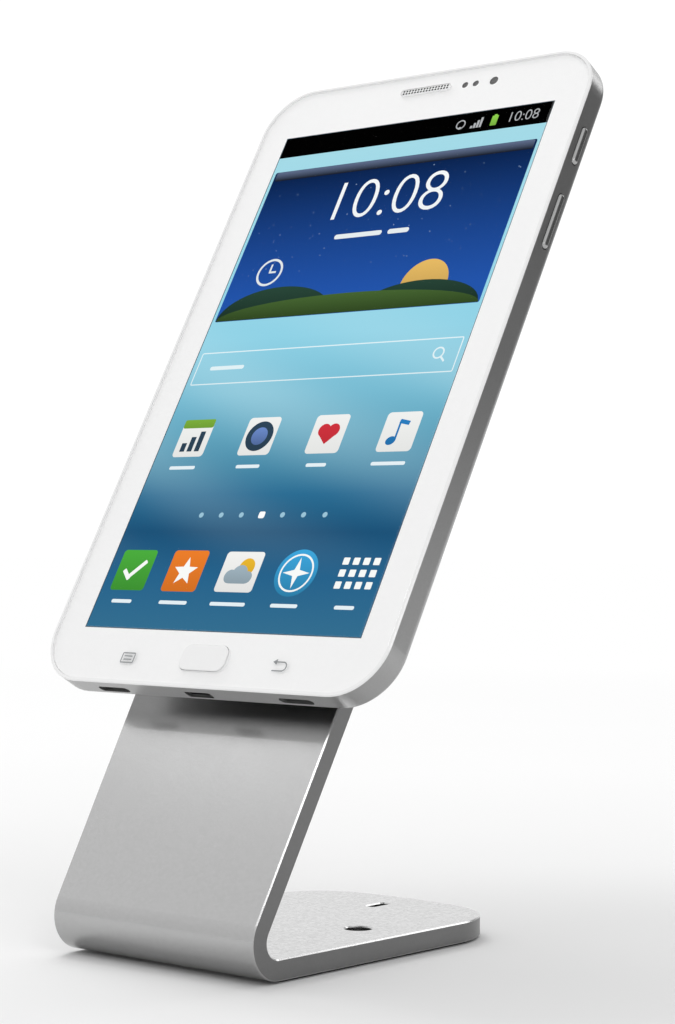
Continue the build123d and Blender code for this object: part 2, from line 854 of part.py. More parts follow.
# Sub board at the lower edge, cut out round the socket
with BuildPart() as sub_board:
    with BuildSketch(layer(board_depth)):
        with Locations((0, (sub_board_top + sub_board_bottom) / 2)):
            Rectangle(sub_board_width, sub_board_top - sub_board_bottom)
        with Locations((usb_place, -half_height)):
            Rectangle(
                usb_length + 2 * panel_gap,
                2 * (usb_recess + usb_body_depth + panel_gap),
                mode=Mode.SUBTRACT,
            )
        with Locations(*sub_screw_places):
            Circle(board_screw_radius + board_screw_clearance, mode=Mode.SUBTRACT)
    extrude(amount=-board_thickness)
sub_board.part.label = "sub_board"

# Screws that hold both boards to the chassis
with BuildPart() as board_screws:
    with BuildSketch(layer(board_back)):
        with Locations(*screw_places):
            Circle(board_screw_head_radius)
    extrude(amount=-board_screw_head_height)
    with BuildSketch(layer(board_back)):
        with Locations(*screw_places):
            Circle(board_screw_radius)
    extrude(amount=board_thickness + board_screw_grip)
board_screws.part.label = "board_screws"

# Ribbon from the sub board, round the battery, to the main board's column
start_place = sub_board_width / 2 - sub_flex_start_inset
run_place = board_column_left + sub_flex_column_inset
run_end = board_column_bottom + sub_flex_end_overlap
turn_height = battery_bottom - sub_flex_battery_gap
start_height = sub_board_top - sub_flex_start_overlap
with BuildPart() as sub_board_flex:
    with BuildSketch(layer(board_back)):
        with Locations((start_place, (start_height + turn_height) / 2)):
            Rectangle(sub_flex_width, turn_height - start_height + sub_flex_width)
        with Locations(((start_place + run_place) / 2, turn_height)):
            Rectangle(run_place - start_place + sub_flex_width, sub_flex_width)
        with Locations((run_place, (turn_height + run_end) / 2)):
            Rectangle(sub_flex_width, run_end - turn_height + sub_flex_width)
    extrude(amount=-flex_thickness)
sub_board_flex.part.label = "sub_board_flex"

# Ribbon from the display's upper edge, through the chassis, onto the main board
flex_side = tablet_front.from_local_coords((display_flex_left, 0, 0))
flex_front = panel_depth + display_flex_drop
flex_reach = panel_top + display_flex_reach
flex_end = board_top - display_flex_overlap
with BuildPart() as display_flex:
    with BuildSketch(Plane(origin=flex_side, x_dir=tablet_front.y_dir, z_dir=tablet_front.x_dir)):
        with BuildLine():
            Polyline(
                (panel_top, -flex_front),
                (flex_reach, -flex_front),
                (flex_reach, -(board_back + flex_thickness)),
                (flex_end, -(board_back + flex_thickness)),
                (flex_end, -board_back),
                (flex_reach - flex_thickness, -board_back),
                (flex_reach - flex_thickness, -(flex_front + flex_thickness)),
                (panel_top, -(flex_front + flex_thickness)),
                close=True,
            )
        make_face()
    extrude(amount=display_flex_width)
display_flex.part.label = "display_flex"

# Antenna film inside the rear cover
with BuildPart() as antenna_flex:
    with BuildSketch(layer(cover_inside)):
        with Locations((antenna_place, half_height - antenna_from_top)):
            Rectangle(antenna_width, antenna_height)
    extrude(amount=antenna_thickness)
antenna_flex.part.label = "antenna_flex"

# Vibration motor
with BuildPart() as vibration_motor:
    with BuildSketch(layer(chassis_back)):
        with Locations((half_width - motor_from_side, motor_from_bottom - half_height)):
            Circle(motor_radius)
    extrude(amount=-motor_thickness)
vibration_motor.part.label = "vibration_motor"


def speaker_box(side):
    """A speaker box behind one slot of the lower edge, its snout against the perforated strip."""
    box_bottom = cover_wall + slip_clearance
    snout_face = frame_wall + mesh_thickness + slip_clearance
    with BuildPart() as box:
        with BuildSketch(layer(chassis_back)):
            with Locations((side * speaker_place, box_bottom + speaker_height / 2 - half_height)):
                Rectangle(speaker_length, speaker_height)
        extrude(amount=-inner_thickness)
        with BuildSketch(lower_plane(snout_face, side * speaker_place, port_depth)):
            Rectangle(speaker_snout_length, speaker_snout_width)
        extrude(amount=-(box_bottom - snout_face))
        with BuildSketch(lower_plane(snout_face, side * speaker_place, port_depth)):
            SlotOverall(speaker_slot_length, speaker_snout_width - 2 * mesh_thickness)
        extrude(amount=-(box_bottom - snout_face + overrun), mode=Mode.SUBTRACT)
    return box.part


# The two speakers
with BuildPart() as left_speaker:
    add(speaker_box(-1))
left_speaker.part.label = "left_speaker"

with BuildPart() as right_speaker:
    add(speaker_box(1))
right_speaker.part.label = "right_speaker"

# Perforated strips behind the speaker slots
with BuildPart() as speaker_meshes:
    for side in (-1, 1):
        with BuildSketch(lower_plane(frame_wall, side * speaker_place, port_depth)):
            Rectangle(mesh_length, mesh_width)
            with GridLocations(mesh_hole_pitch, mesh_hole_pitch, mesh_columns, mesh_rows):
                Circle(mesh_hole_radius, mode=Mode.SUBTRACT)
        extrude(amount=-mesh_thickness)
speaker_meshes.part.label = "speaker_meshes"

# Data and charging socket: a metal shell with its tongue
with BuildPart() as usb_socket:
    with BuildSketch(lower_plane(usb_recess, usb_place, port_depth)):
        RectangleRounded(usb_length, usb_width, usb_corner)
    extrude(amount=-usb_body_depth)
    with BuildSketch(lower_plane(usb_recess, usb_place, port_depth)):
        RectangleRounded(usb_length - 2 * usb_wall, usb_width - 2 * usb_wall, usb_corner - usb_wall)
    extrude(amount=-(usb_body_depth - usb_wall), mode=Mode.SUBTRACT)
    with BuildSketch(lower_plane(usb_recess + usb_tongue_recess, usb_place, port_depth)):
        Rectangle(usb_tongue_length, usb_tongue_thickness)
    extrude(amount=-(usb_body_depth - usb_tongue_recess - usb_wall / 2))
usb_socket.part.label = "usb_socket"

# Headphone jack inside the upper edge
with BuildPart() as headphone_jack:
    with BuildSketch(upper_plane(frame_wall + slip_clearance, jack_place, jack_depth)):
        Circle(jack_body_radius)
    extrude(amount=-jack_body_length)
    with BuildSketch(upper_plane(frame_wall + slip_clearance, jack_place, jack_depth)):
        Circle(jack_bore_radius)
    extrude(amount=-jack_bore_length, mode=Mode.SUBTRACT)
headphone_jack.part.label = "headphone_jack"

# Perforated earpiece strip in the glass, with its flange behind the printed border
grille_back = panel_depth + grille_flange_thickness
with BuildPart() as earpiece_grille:
    with BuildSketch(layer(grille_recess)):
        with Locations((0, earpiece_height)):
            SlotOverall(
                earpiece_slot_length - 2 * grille_clearance,
                earpiece_slot_width - 2 * grille_clearance,
            )
    extrude(amount=-(grille_back - grille_recess))
    with BuildSketch(layer(panel_depth)):
        with Locations((0, earpiece_height)):
            SlotOverall(
                earpiece_slot_length + 2 * grille_flange_overlap,
                earpiece_slot_width + 2 * grille_flange_overlap,
            )
    extrude(amount=-grille_flange_thickness)
    with BuildSketch(layer(grille_recess)):
        with Locations((0, earpiece_height)):
            with GridLocations(grille_hole_pitch, grille_row_pitch, grille_columns, grille_rows):
                Circle(grille_hole_radius)
    extrude(amount=-(grille_back - grille_recess), mode=Mode.SUBTRACT)
earpiece_grille.part.label = "earpiece_grille"

# Earpiece speaker behind its strip
with BuildPart() as earpiece_receiver:
    with BuildSketch(layer(grille_back)):
        with Locations((0, earpiece_height)):
            Rectangle(receiver_length, receiver_width)
    extrude(amount=-(chassis_back - grille_back))
earpiece_receiver.part.label = "earpiece_receiver"

# Front camera with its barrel against the printed border
with BuildPart() as front_camera:
    with BuildSketch(layer(panel_depth)):
        with Locations((front_camera_place, earpiece_height)):
            Circle(front_camera_barrel_radius)
    extrude(amount=-front_camera_barrel_length)
    with BuildSketch(layer(panel_depth + front_camera_barrel_length)):
        with Locations((front_camera_place, earpiece_height)):
            Rectangle(front_camera_size, front_camera_size)
    extrude(amount=-front_camera_body_depth)
front_camera.part.label = "front_camera"

# Light and nearness sensor behind its two windows
with BuildPart() as light_sensor:
    with BuildSketch(layer(panel_depth)):
        with Locations((sensor_place, earpiece_height)):
            Rectangle(sensor_length, sensor_width)
    extrude(amount=-sensor_thickness)
light_sensor.part.label = "light_sensor"

# Rear camera module, just short of the ring's flange
rear_camera_depth = cover_inside - ring_flange_thickness - slip_clearance - chassis_back
with BuildPart() as rear_camera:
    with BuildSketch(layer(chassis_back)):
        with Locations(rear_camera_place):
            Rectangle(rear_camera_size, rear_camera_size)
    extrude(amount=-rear_camera_depth)
rear_camera.part.label = "rear_camera"

# Metal ring in the rear cover, stepped to seat the camera window
window_seat = tablet_thickness + ring_stand_out - ring_lip - window_thickness
with BuildPart() as rear_camera_ring:
    with BuildSketch(layer(cover_inside)):
        with Locations(rear_camera_place):
            Circle(ring_radius + ring_flange_overlap)
    extrude(amount=ring_flange_thickness)
    with BuildSketch(layer(cover_inside)):
        with Locations(rear_camera_place):
            Circle(ring_radius)
    extrude(amount=-(cover_floor + ring_stand_out))
    with BuildSketch(layer(cover_inside - ring_flange_thickness)):
        with Locations(rear_camera_place):
            Circle(window_radius - ring_step)
    extrude(amount=-(cover_floor + ring_stand_out + ring_flange_thickness), mode=Mode.SUBTRACT)
    with BuildSketch(layer(window_seat)):
        with Locations(rear_camera_place):
            Circle(window_radius)
    extrude(amount=-(window_thickness + ring_lip + overrun), mode=Mode.SUBTRACT)
rear_camera_ring.part.label = "rear_camera_ring"

# Camera window on the ring's step
with BuildPart() as rear_camera_window:
    with BuildSketch(layer(window_seat)):
        with Locations(rear_camera_place):
            Circle(window_radius - slip_clearance)
    extrude(amount=-window_thickness)
rear_camera_window.part.label = "rear_camera_window"

# Home button: cap through the glass, flange behind the printed border
home_flange_front = panel_depth + slip_clearance
home_flange_back = home_flange_front + home_flange_thickness
with BuildPart() as home_button:
    with BuildSketch(layer(-home_stand_out)):
        with Locations((0, home_height)):
            RectangleRounded(home_length, home_width, home_corner)
    extrude(amount=-(home_stand_out + home_flange_front))
    cap_face = home_button.faces().filter_by(tablet_front).group_by(
        Axis(tablet_front.origin, tablet_front.z_dir)
    )[-1]
    fillet(cap_face.edges(), radius=home_edge_round)
    with BuildSketch(layer(home_flange_front)):
        with Locations((0, home_height)):
            RectangleRounded(
                home_length + 2 * home_flange_overlap,
                home_width + 2 * home_flange_overlap,
                home_corner,
            )
    extrude(amount=-home_flange_thickness)
home_button.part.label = "home_button"

# Home switch depths, and the plunger that the button pushes
home_well_depth = home_travel + 2 * home_well_clearance
home_switch_front = plate_depth - home_switch_floor - home_well_depth
home_plunger_length = home_switch_front + home_well_clearance - home_flange_back
with BuildPart() as home_plunger:
    with BuildSketch(layer(home_flange_back)):
        with Locations((0, home_height)):
            Circle(home_plunger_radius)
    extrude(amount=-home_plunger_length)
home_plunger.part.label = "home_plunger"

# Home switch on the floor of its pocket, with a well for the plunger
with BuildPart() as home_switch:
    with BuildSketch(layer(home_switch_front)):
        with Locations((0, home_height)):
            Rectangle(home_switch_length, home_switch_width)
    extrude(amount=-(plate_depth - home_switch_front))
    with BuildSketch(layer(home_switch_front)):
        with Locations((0, home_height)):
            Circle(home_plunger_radius + home_well_clearance)
    extrude(amount=-home_well_depth, mode=Mode.SUBTRACT)
home_switch.part.label = "home_switch"

# Power key: rounded cap, flange inside the frame and a stem
key_round = key_width / 2 * key_crest_share
with BuildPart() as power_key:
    with BuildSketch(side_plane(-key_stand_out, power_key_height, key_depth)):
        SlotOverall(power_key_length, key_width)
    extrude(amount=-(key_stand_out + power_flange_front))
    crest = power_key.faces().filter_by(Axis.X).sort_by(Axis.X)[-1]
    fillet(crest.edges(), radius=key_round)
    with BuildSketch(side_plane(power_flange_front, power_key_height, key_depth)):
        Rectangle(power_key_length + 2 * key_flange_overlap, key_flange_width)
    extrude(amount=-key_flange_thickness)
    with BuildSketch(side_plane(power_flange_back, power_key_height, key_depth)):
        Rectangle(power_stem_width, key_stem_width)
    extrude(amount=-(key_stem_end - power_flange_back))
power_key.part.label = "power_key"

# Volume key: rocks on a rib in the middle of its flange, with a stem for each switch
with BuildPart() as volume_key:
    with BuildSketch(side_plane(-key_stand_out, volume_key_height, key_depth)):
        SlotOverall(volume_key_length, key_width)
    extrude(amount=-(key_stand_out + volume_flange_front))
    crest = volume_key.faces().filter_by(Axis.X).sort_by(Axis.X)[-1]
    fillet(crest.edges(), radius=key_round)
    with BuildSketch(side_plane(volume_flange_front, volume_key_height, key_depth)):
        Rectangle(volume_key_length + 2 * key_flange_overlap, key_flange_width)
    extrude(amount=-key_flange_thickness)
    with BuildSketch(side_plane(volume_flange_front, volume_key_height, key_depth)):
        Rectangle(volume_rib_width, key_flange_width)
    extrude(amount=volume_flange_gap - volume_rib_gap)
    with BuildSketch(side_plane(volume_flange_back, volume_key_height, key_depth)):
        with GridLocations(volume_stem_spacing, volume_stem_spacing, 2, 1):
            Rectangle(volume_stem_width, key_stem_width)
    extrude(amount=-(key_stem_end - volume_flange_back))
volume_key.part.label = "volume_key"


def switch_body():
    """A side switch, drawn with its mouth on the XY plane and its well open at +Z."""
    with BuildPart() as body:
        with BuildSketch(Plane.XY):
            Rectangle(switch_length, switch_width)
        extrude(amount=-switch_thickness)
        with BuildSketch(Plane.XY):
            Circle(plunger_radius + switch_well_clearance)
        extrude(amount=-switch_well_depth, mode=Mode.SUBTRACT)
    return body.part


# Power switch and the plunger in its well
with BuildPart() as power_switch:
    add(side_plane(switch_front, power_key_height, key_depth) * switch_body())
power_switch.part.label = "power_switch"

with BuildPart() as power_plunger:
    with BuildSketch(side_plane(key_stem_end, power_key_height, key_depth)):
        Circle(plunger_radius)
    extrude(amount=-plunger_length)
power_plunger.part.label = "power_plunger"

# Two volume switches and the plungers in their wells
volume_switch_heights = [
    volume_key_height + side * volume_stem_spacing / 2 for side in (-1, 1)
]
with BuildPart() as volume_switches:
    for height in volume_switch_heights:
        add(side_plane(switch_front, height, key_depth) * switch_body())
volume_switches.part.label = "volume_switches"

with BuildPart() as volume_plungers:
    for height in volume_switch_heights:
        with BuildSketch(side_plane(key_stem_end, height, key_depth)):
            Circle(plunger_radius)
        extrude(amount=-plunger_length)
volume_plungers.part.label = "volume_plungers"

# Ribbon behind the side switches, on the wall of the key bay
key_flex_bottom = volume_switch_heights[0] - switch_length / 2 - key_flex_end
key_flex_top = power_key_height + switch_length / 2 + key_flex_end
with BuildPart() as key_flex:
    with BuildSketch(side_plane(switch_back, (key_flex_bottom + key_flex_top) / 2, key_depth)):
        Rectangle(key_flex_top - key_flex_bottom, switch_width)
    extrude(amount=-key_flex_thickness)
key_flex.part.label = "key_flex"

# One file for each piece
pieces = (
    stand_body,
    base_pad,
    mounting_plate,
    adhesive_pad,
    plate_screws,
    cover_glass,
    bezel_mask,
    front_rim,
    display_panel,
    backlight,
    chassis,
    side_frame,
    rear_cover,
    battery,
    battery_lead,
    main_board,
    board_chips,
    board_shields,
    sub_board,
    board_screws,
    sub_board_flex,
    display_flex,
    antenna_flex,
    vibration_motor,
    left_speaker,
    right_speaker,
    speaker_meshes,
    usb_socket,
    headphone_jack,
    earpiece_grille,
    earpiece_receiver,
    front_camera,
    light_sensor,
    rear_camera,
    rear_camera_ring,
    rear_camera_window,
    home_button,
    home_plunger,
    home_switch,
    power_key,
    volume_key,
    power_switch,
    power_plunger,
    volume_switches,
    volume_plungers,
    key_flex,
)
os.makedirs("parts", exist_ok=True)
for piece in pieces:
    export_step(piece.part, os.path.join("parts", piece.part.label + ".step"))
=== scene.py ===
import json
import logging
import math
import random
from collections.abc import Iterator
from contextlib import contextmanager
from dataclasses import dataclass, field
from enum import Enum
from functools import cache

import bpy
from mathutils import Matrix, Vector


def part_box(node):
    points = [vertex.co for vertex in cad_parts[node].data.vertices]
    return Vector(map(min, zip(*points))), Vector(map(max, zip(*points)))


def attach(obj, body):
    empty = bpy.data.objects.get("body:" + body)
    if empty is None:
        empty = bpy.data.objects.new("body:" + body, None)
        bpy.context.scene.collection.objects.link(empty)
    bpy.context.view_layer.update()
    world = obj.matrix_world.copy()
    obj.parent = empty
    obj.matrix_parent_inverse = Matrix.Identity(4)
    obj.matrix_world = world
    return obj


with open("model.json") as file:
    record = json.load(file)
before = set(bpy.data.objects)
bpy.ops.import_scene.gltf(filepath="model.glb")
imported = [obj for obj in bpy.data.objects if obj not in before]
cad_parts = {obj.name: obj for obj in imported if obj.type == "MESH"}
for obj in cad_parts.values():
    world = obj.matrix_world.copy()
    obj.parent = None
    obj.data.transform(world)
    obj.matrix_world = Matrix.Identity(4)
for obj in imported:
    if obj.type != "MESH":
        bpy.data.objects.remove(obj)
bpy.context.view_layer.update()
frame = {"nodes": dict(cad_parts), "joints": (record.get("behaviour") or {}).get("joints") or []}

log = logging.getLogger("kiosk_stand")

MM = 0.001  # a millimetre; lengths are in metres where no unit is named
Colour = tuple[float, float, float, float]
Point = tuple[float, float]
Place = tuple[float, float, float]
Socket = bpy.types.NodeSocket


def srgb(code: str) -> Colour:
    """Turns a screen colour into the linear colour that a shader takes.

    Args:
        code: Six hexadecimal digits, red first.

    Returns:
        Linear red, green, blue and a full alpha.
    """
    channels = [int(code[start:start + 2], 16) / 255 for start in (0, 2, 4)]
    linear = [c / 12.92 if c <= 0.04045 else ((c + 0.055) / 1.055) ** 2.4 for c in channels]
    return (linear[0], linear[1], linear[2], 1.0)


def grey(level: float) -> Colour:
    """A neutral linear colour of this level."""
    return (level, level, level, 1.0)


def shaded(colour: Colour, share: float) -> Colour:
    """A linear colour at a share of its level, with no channel above white."""
    red, green, blue = (min(1.0, channel * share) for channel in colour[:3])
    return (red, green, blue, 1.0)


BLACK = grey(0.0)
WHITE = grey(1.0)
WHITE_PRINT = grey(0.94)
PRINT_ROUGHNESS = 0.5


class TabletFace:
    """The plane of the tablet's front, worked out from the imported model.

    X runs to the right along it, Y up the tablet, Z out of its front.
    """

    def __init__(self) -> None:
        """Reads the plane's direction from the home button's travel and its centre from the front rim."""
        press = next(joint for joint in frame["joints"] if joint["name"] == "home_press")
        self.normal = -Vector(press["axis"]).normalized()
        self.right = Vector((1, 0, 0))
        self.up = self.normal.cross(self.right)
        self.lean = math.atan2(self.up.z, self.up.y)
        rim = frame["nodes"]["front_rim"]
        front = max(vertex.co.dot(self.normal) for vertex in rim.data.vertices)
        lowest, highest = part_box("front_rim")
        middle = (Vector(lowest) + Vector(highest)) / 2
        self.centre = middle + self.normal * (front - middle.dot(self.normal))

    def sheet(self, depth: float) -> Matrix:
        """The transform that lays a flat drawing in millimetres on a plane behind the front.

        Args:
            depth: How deep behind the front the plane lies, in millimetres.

        Returns:
            A matrix from the drawing's coordinates to the frame's.
        """
        origin = self.centre - self.normal * (depth * MM)
        turned = Matrix((self.right, self.up, self.normal)).transposed().to_4x4()
        return Matrix.Translation(origin) @ turned @ Matrix.Scale(MM, 4)


FACE = TabletFace()


class NodeGraph:
    """A node tree, built node by node."""

    NOISE_LOW = 0.3
    NOISE_HIGH = 0.7

    def __init__(self, tree: bpy.types.NodeTree) -> None:
        """Empties a tree and gives it its coordinates.

        Args:
            tree: The node tree of a material or a world.
        """
        self.tree = tree
        self.tree.nodes.clear()
        self.coordinates = self.add("TexCoord").outputs

    def add(self, kind: str, inputs: dict | None = None, **settings: object) -> bpy.types.Node:
        """Adds a node.

        Args:
            kind: The node's type without its ShaderNode prefix.
            inputs: Values or output sockets for its inputs, by name or number.
            settings: Properties of the node.

        Returns:
            The new node.
        """
        node = self.tree.nodes.new("ShaderNode" + kind)
        for name, value in settings.items():
            setattr(node, name, value)
        for key, value in (inputs or {}).items():
            if isinstance(value, Socket):
                self.tree.links.new(value, node.inputs[key])
            else:
                node.inputs[key].default_value = value
        return node

    def math(self, operation: str, *values: object) -> Socket:
        """Adds a Math node over numbers or sockets and returns its result."""
        return self.add("Math", dict(enumerate(values)), operation=operation).outputs[0]

    def vector(self, operation: str, *values: object) -> Socket:
        """Adds a Vector Math node whose result is a number and returns that number."""
        return self.add("VectorMath", dict(enumerate(values)), operation=operation).outputs["Value"]

    def split(self, vector: Socket) -> tuple[Socket, Socket, Socket]:
        """Splits a vector and returns its X, Y and Z."""
        parts = self.add("SeparateXYZ", {"Vector": vector}).outputs
        return parts["X"], parts["Y"], parts["Z"]

    def span(self, value: Socket, start: float, end: float, low: float = 0.0, high: float = 1.0,
             easing: str = "LINEAR") -> Socket:
        """Maps the stretch of a value from start to end onto low to high.

        Args:
            value: The value's socket.
            start: The value that gives low.
            end: The value that gives high.
            low: The result at the start and before it.
            high: The result at the end and past it.
            easing: How it runs between them.

        Returns:
            The result's socket.
        """
        inputs = {"Value": value, "From Min": start, "From Max": end, "To Min": low, "To Max": high}
        return self.add("MapRange", inputs, interpolation_type=easing).outputs["Result"]

    def spread(self, pattern: Socket, low: float, high: float) -> Socket:
        """Maps the range that holds most of a noise pattern onto low to high."""
        return self.span(pattern, self.NOISE_LOW, self.NOISE_HIGH, low, high)


class Shader(NodeGraph):
    """One procedural material on Object coordinates."""

    def __init__(self, name: str) -> None:
        """Starts an empty material.

        Args:
            name: The material's name.
        """
        self.material = bpy.data.materials.new(name)
        self.material.use_nodes = True
        super().__init__(self.material.node_tree)
        self.place = self.coordinates["Object"]
        self.facing = self.coordinates["Normal"]

    def noise(self, scale: float, detail: float = 2.0, where: Socket | None = None) -> Socket:
        """Adds a noise pattern.

        Args:
            scale: Grains for each metre.
            detail: How many finer octaves it has.
            where: Another coordinate socket, if the pattern is stretched.

        Returns:
            The pattern's value socket.
        """
        inputs = {"Vector": where or self.place, "Scale": scale, "Detail": detail}
        return self.add("TexNoise", inputs).outputs["Fac"]

    def ramp(self, factor: Socket, stops: list[tuple[float, Colour]]) -> Socket:
        """Adds a colour ramp.

        Args:
            factor: The socket that drives it.
            stops: Positions and colours, lowest position first.

        Returns:
            The colour socket.
        """
        node = self.add("ValToRGB", {"Fac": factor})
        elements = node.color_ramp.elements
        while len(elements) < len(stops):
            elements.new(0.5)
        for element, (position, colour) in zip(elements, stops):
            element.position = position
            element.color = colour
        return node.outputs["Color"]

    def mix(self, factor: object, first: object, second: object) -> Socket:
        """Blends two colours or colour sockets and returns the result."""
        return self.add("MixRGB", {"Fac": factor, "Color1": first, "Color2": second}).outputs["Color"]

    def bump(self, height: Socket, strength: float, depth: float) -> Socket:
        """Turns a height pattern of this depth in metres into a normal socket."""
        return self.add("Bump", {"Height": height, "Strength": strength, "Distance": depth}).outputs["Normal"]

    def on_face(self) -> tuple[Socket, Socket, Socket]:
        """Finds the place on the tablet's front.

        Returns:
            Sockets with the place to the right, up and out of the front, in metres.
        """
        directions = (FACE.right, FACE.up, FACE.normal)
        shift = -Vector([FACE.centre.dot(direction) for direction in directions])
        inputs = {"Vector": self.place, "Rotation": (-FACE.lean, 0, 0), "Location": shift}
        return self.split(self.add("Mapping", inputs, vector_type="POINT").outputs["Vector"])

    def square_on(self) -> Socket:
        """How squarely the surface faces the same way as the tablet's front, from -1 to 1."""
        return self.vector("DOT_PRODUCT", self.facing, FACE.normal)

    def solid(self, inputs: dict) -> Socket:
        """A closed surface with these colours and qualities."""
        return self.add("BsdfPrincipled", inputs).outputs["BSDF"]

    def mirror(self, roughness: Socket) -> Socket:
        """A white reflection."""
        return self.add("BsdfGlossy", {"Color": WHITE, "Roughness": roughness}).outputs["BSDF"]

    def clear(self, tint: Colour) -> Socket:
        """Light that passes straight through with a tint."""
        return self.add("BsdfTransparent", {"Color": tint}).outputs["BSDF"]

    def glow(self, colour: object) -> Socket:
        """Light of a colour, at strength 1."""
        return self.add("Emission", {"Color": colour}).outputs["Emission"]

    def edge_on(self, index: float) -> Socket:
        """The share that a surface of this refractive index mirrors."""
        return self.add("Fresnel", {"IOR": index}).outputs["Fac"]

    def blend(self, factor: Socket, first: Socket, second: Socket) -> Socket:
        """Blends two surfaces and returns the result."""
        return self.add("MixShader", {0: factor, 1: first, 2: second}).outputs["Shader"]

    def finish(self, surface: Socket) -> bpy.types.Material:
        """Links the surface to the output and returns the material."""
        self.add("OutputMaterial", {"Surface": surface})
        return self.material


@dataclass(frozen=True)
class MetalFinish:
    """A satin metal whose grain shows as fine sparkle.

    Attributes:
        variation: How far colour and roughness wander, as a share.
        grain_scale: Grains for each metre.
        stretch: Scale of the grain along X, Y and Z, where the metal is brushed.
        cloud_grains: How many grains a cloud of the roughness spans.
    """

    name: str
    colour: Colour
    roughness: float
    variation: float = 0.05
    grain_scale: float = 2600.0
    grain_strength: float = 0.25
    stretch: Place = (1.0, 1.0, 1.0)
    grain_depth: float = 0.05 * MM
    cloud_grains: float = 100.0

    def build(self) -> bpy.types.Material:
        """Makes the material.

        Returns:
            The finished material.
        """
        shader = Shader(self.name)
        stretched = shader.add("Mapping", {"Vector": shader.place, "Scale": self.stretch}).outputs["Vector"]
        grain = shader.noise(self.grain_scale, 3.0, stretched)
        clouds = shader.noise(self.grain_scale / self.cloud_grains, 3.0)
        less, more = 1 - self.variation, 1 + self.variation
        darker, lighter = shaded(self.colour, less), shaded(self.colour, more)
        inputs = {
            "Base Color": shader.mix(shader.spread(grain, 0, 1), darker, lighter),
            "Metallic": 1.0,
            "Roughness": shader.spread(clouds, self.roughness * less, self.roughness * more),
            "Normal": shader.bump(grain, self.grain_strength, self.grain_depth),
        }
        return shader.finish(shader.solid(inputs))


@dataclass(frozen=True)
class BlastedPlateFinish:
    """Bead-blasted plate with darker cut edges.

    Attributes:
        bead_grains: How many grains the mark of a bead spans.
        cloud_grains: How many grains a cloud of the roughness spans.
        sparkle: How much darker the dullest bead mark is than the brightest.
        base_sparkle: The same on faces that look straight up.
        bend_end: How far back the bend reaches.
        bend_painted_shade: How much darker the painted shade makes the outside of the bend where it looks down.
        bend_shade_turn: How far the outside of the bend looks up where the painted shade starts and where it is full.
        sideways: How far a cut side at least looks sideways.
        upwards: How far a level face at least looks up.
        astray: How far a face looks off before it counts as turned that way.
    """

    name: str
    colour: Colour
    cut_edge_painted_shade: Colour
    roughness: float = 0.22
    cut_roughness: float = 0.36
    variation: float = 0.03
    grain_scale: float = 4200.0
    grain_strength: float = 0.2
    grain_depth: float = 0.05 * MM
    bead_grains: float = 2.8
    cloud_grains: float = 60.0
    sparkle: float = 0.03
    base_sparkle: float = 0.28
    bend_end: float = -30 * MM
    bend_painted_shade: float = 0.3
    bend_shade_turn: Point = (0.45, -0.6)
    sideways: float = 0.9
    upwards: float = 0.95
    astray: float = 0.05

    def build(self) -> bpy.types.Material:
        """Makes the material.

        Returns:
            The finished material.
        """
        shader = Shader(self.name)
        cut = self.cut_faces(shader)
        grain = shader.noise(self.grain_scale)
        clouds = shader.noise(self.grain_scale / self.cloud_grains, 3.0)
        wander = shader.spread(clouds, 1 - self.variation, 1 + self.variation)
        # painted shade: the cut edges take the darker cut_edge_painted_shade, which stands for the shade they lie in
        plain = shader.mix(cut, self.colour, self.cut_edge_painted_shade)
        rough = shader.mix(cut, grey(self.roughness), grey(self.cut_roughness))
        inputs = {
            "Base Color": shader.mix(self.bead_marks_and_painted_shade(shader), plain, BLACK),
            "Metallic": 1.0,
            "Roughness": shader.math("MULTIPLY", rough, wander),
            "Normal": shader.bump(grain, self.grain_strength, self.grain_depth),
        }
        return shader.finish(shader.solid(inputs))

    def cut_faces(self, shader: Shader) -> Socket:
        """Tells the plate's cut edges from its two faces.

        Args:
            shader: The material being built.

        Returns:
            A socket that is 1 on the cut edges.
        """
        across, back, up = shader.split(shader.facing)
        _, place, _ = shader.split(shader.place)
        side = shader.math("GREATER_THAN", shader.math("ABSOLUTE", across), self.sideways)
        rear = shader.math("GREATER_THAN", back, self.astray)
        past_bend = shader.math("GREATER_THAN", place, self.bend_end)
        upright = shader.math("LESS_THAN", shader.math("ABSOLUTE", up), self.astray)
        rear_edge = shader.math("MULTIPLY", shader.math("MULTIPLY", rear, past_bend), upright)
        return shader.math("MAXIMUM", side, rear_edge)

    def bead_marks_and_painted_shade(self, shader: Shader) -> Socket:
        """Adds up the bead marks and the painted shade on the outside of the bend.

        Args:
            shader: The material being built.

        Returns:
            A socket with how much darker the metal is, from the grain and from the painted shade.
        """
        _, back, up = shader.split(shader.facing)
        inputs = {"Vector": shader.place, "Scale": self.grain_scale / self.bead_grains}
        marks = shader.add("TexVoronoi", inputs).outputs["Color"]
        beads = shader.add("SeparateColor", {"Color": marks}).outputs["Red"]
        level = shader.math("GREATER_THAN", up, self.upwards)
        depth = shader.mix(level, grey(self.sparkle), grey(self.base_sparkle))
        outer = shader.math("LESS_THAN", back, -self.astray)
        start, end = self.bend_shade_turn
        # painted shade: the outside of the bend darkens as it turns from looking up to looking down
        stretched = shader.math("MULTIPLY", outer, shader.span(up, start, end, high=self.bend_painted_shade))
        return shader.math("ADD", shader.math("MULTIPLY", beads, depth), stretched)


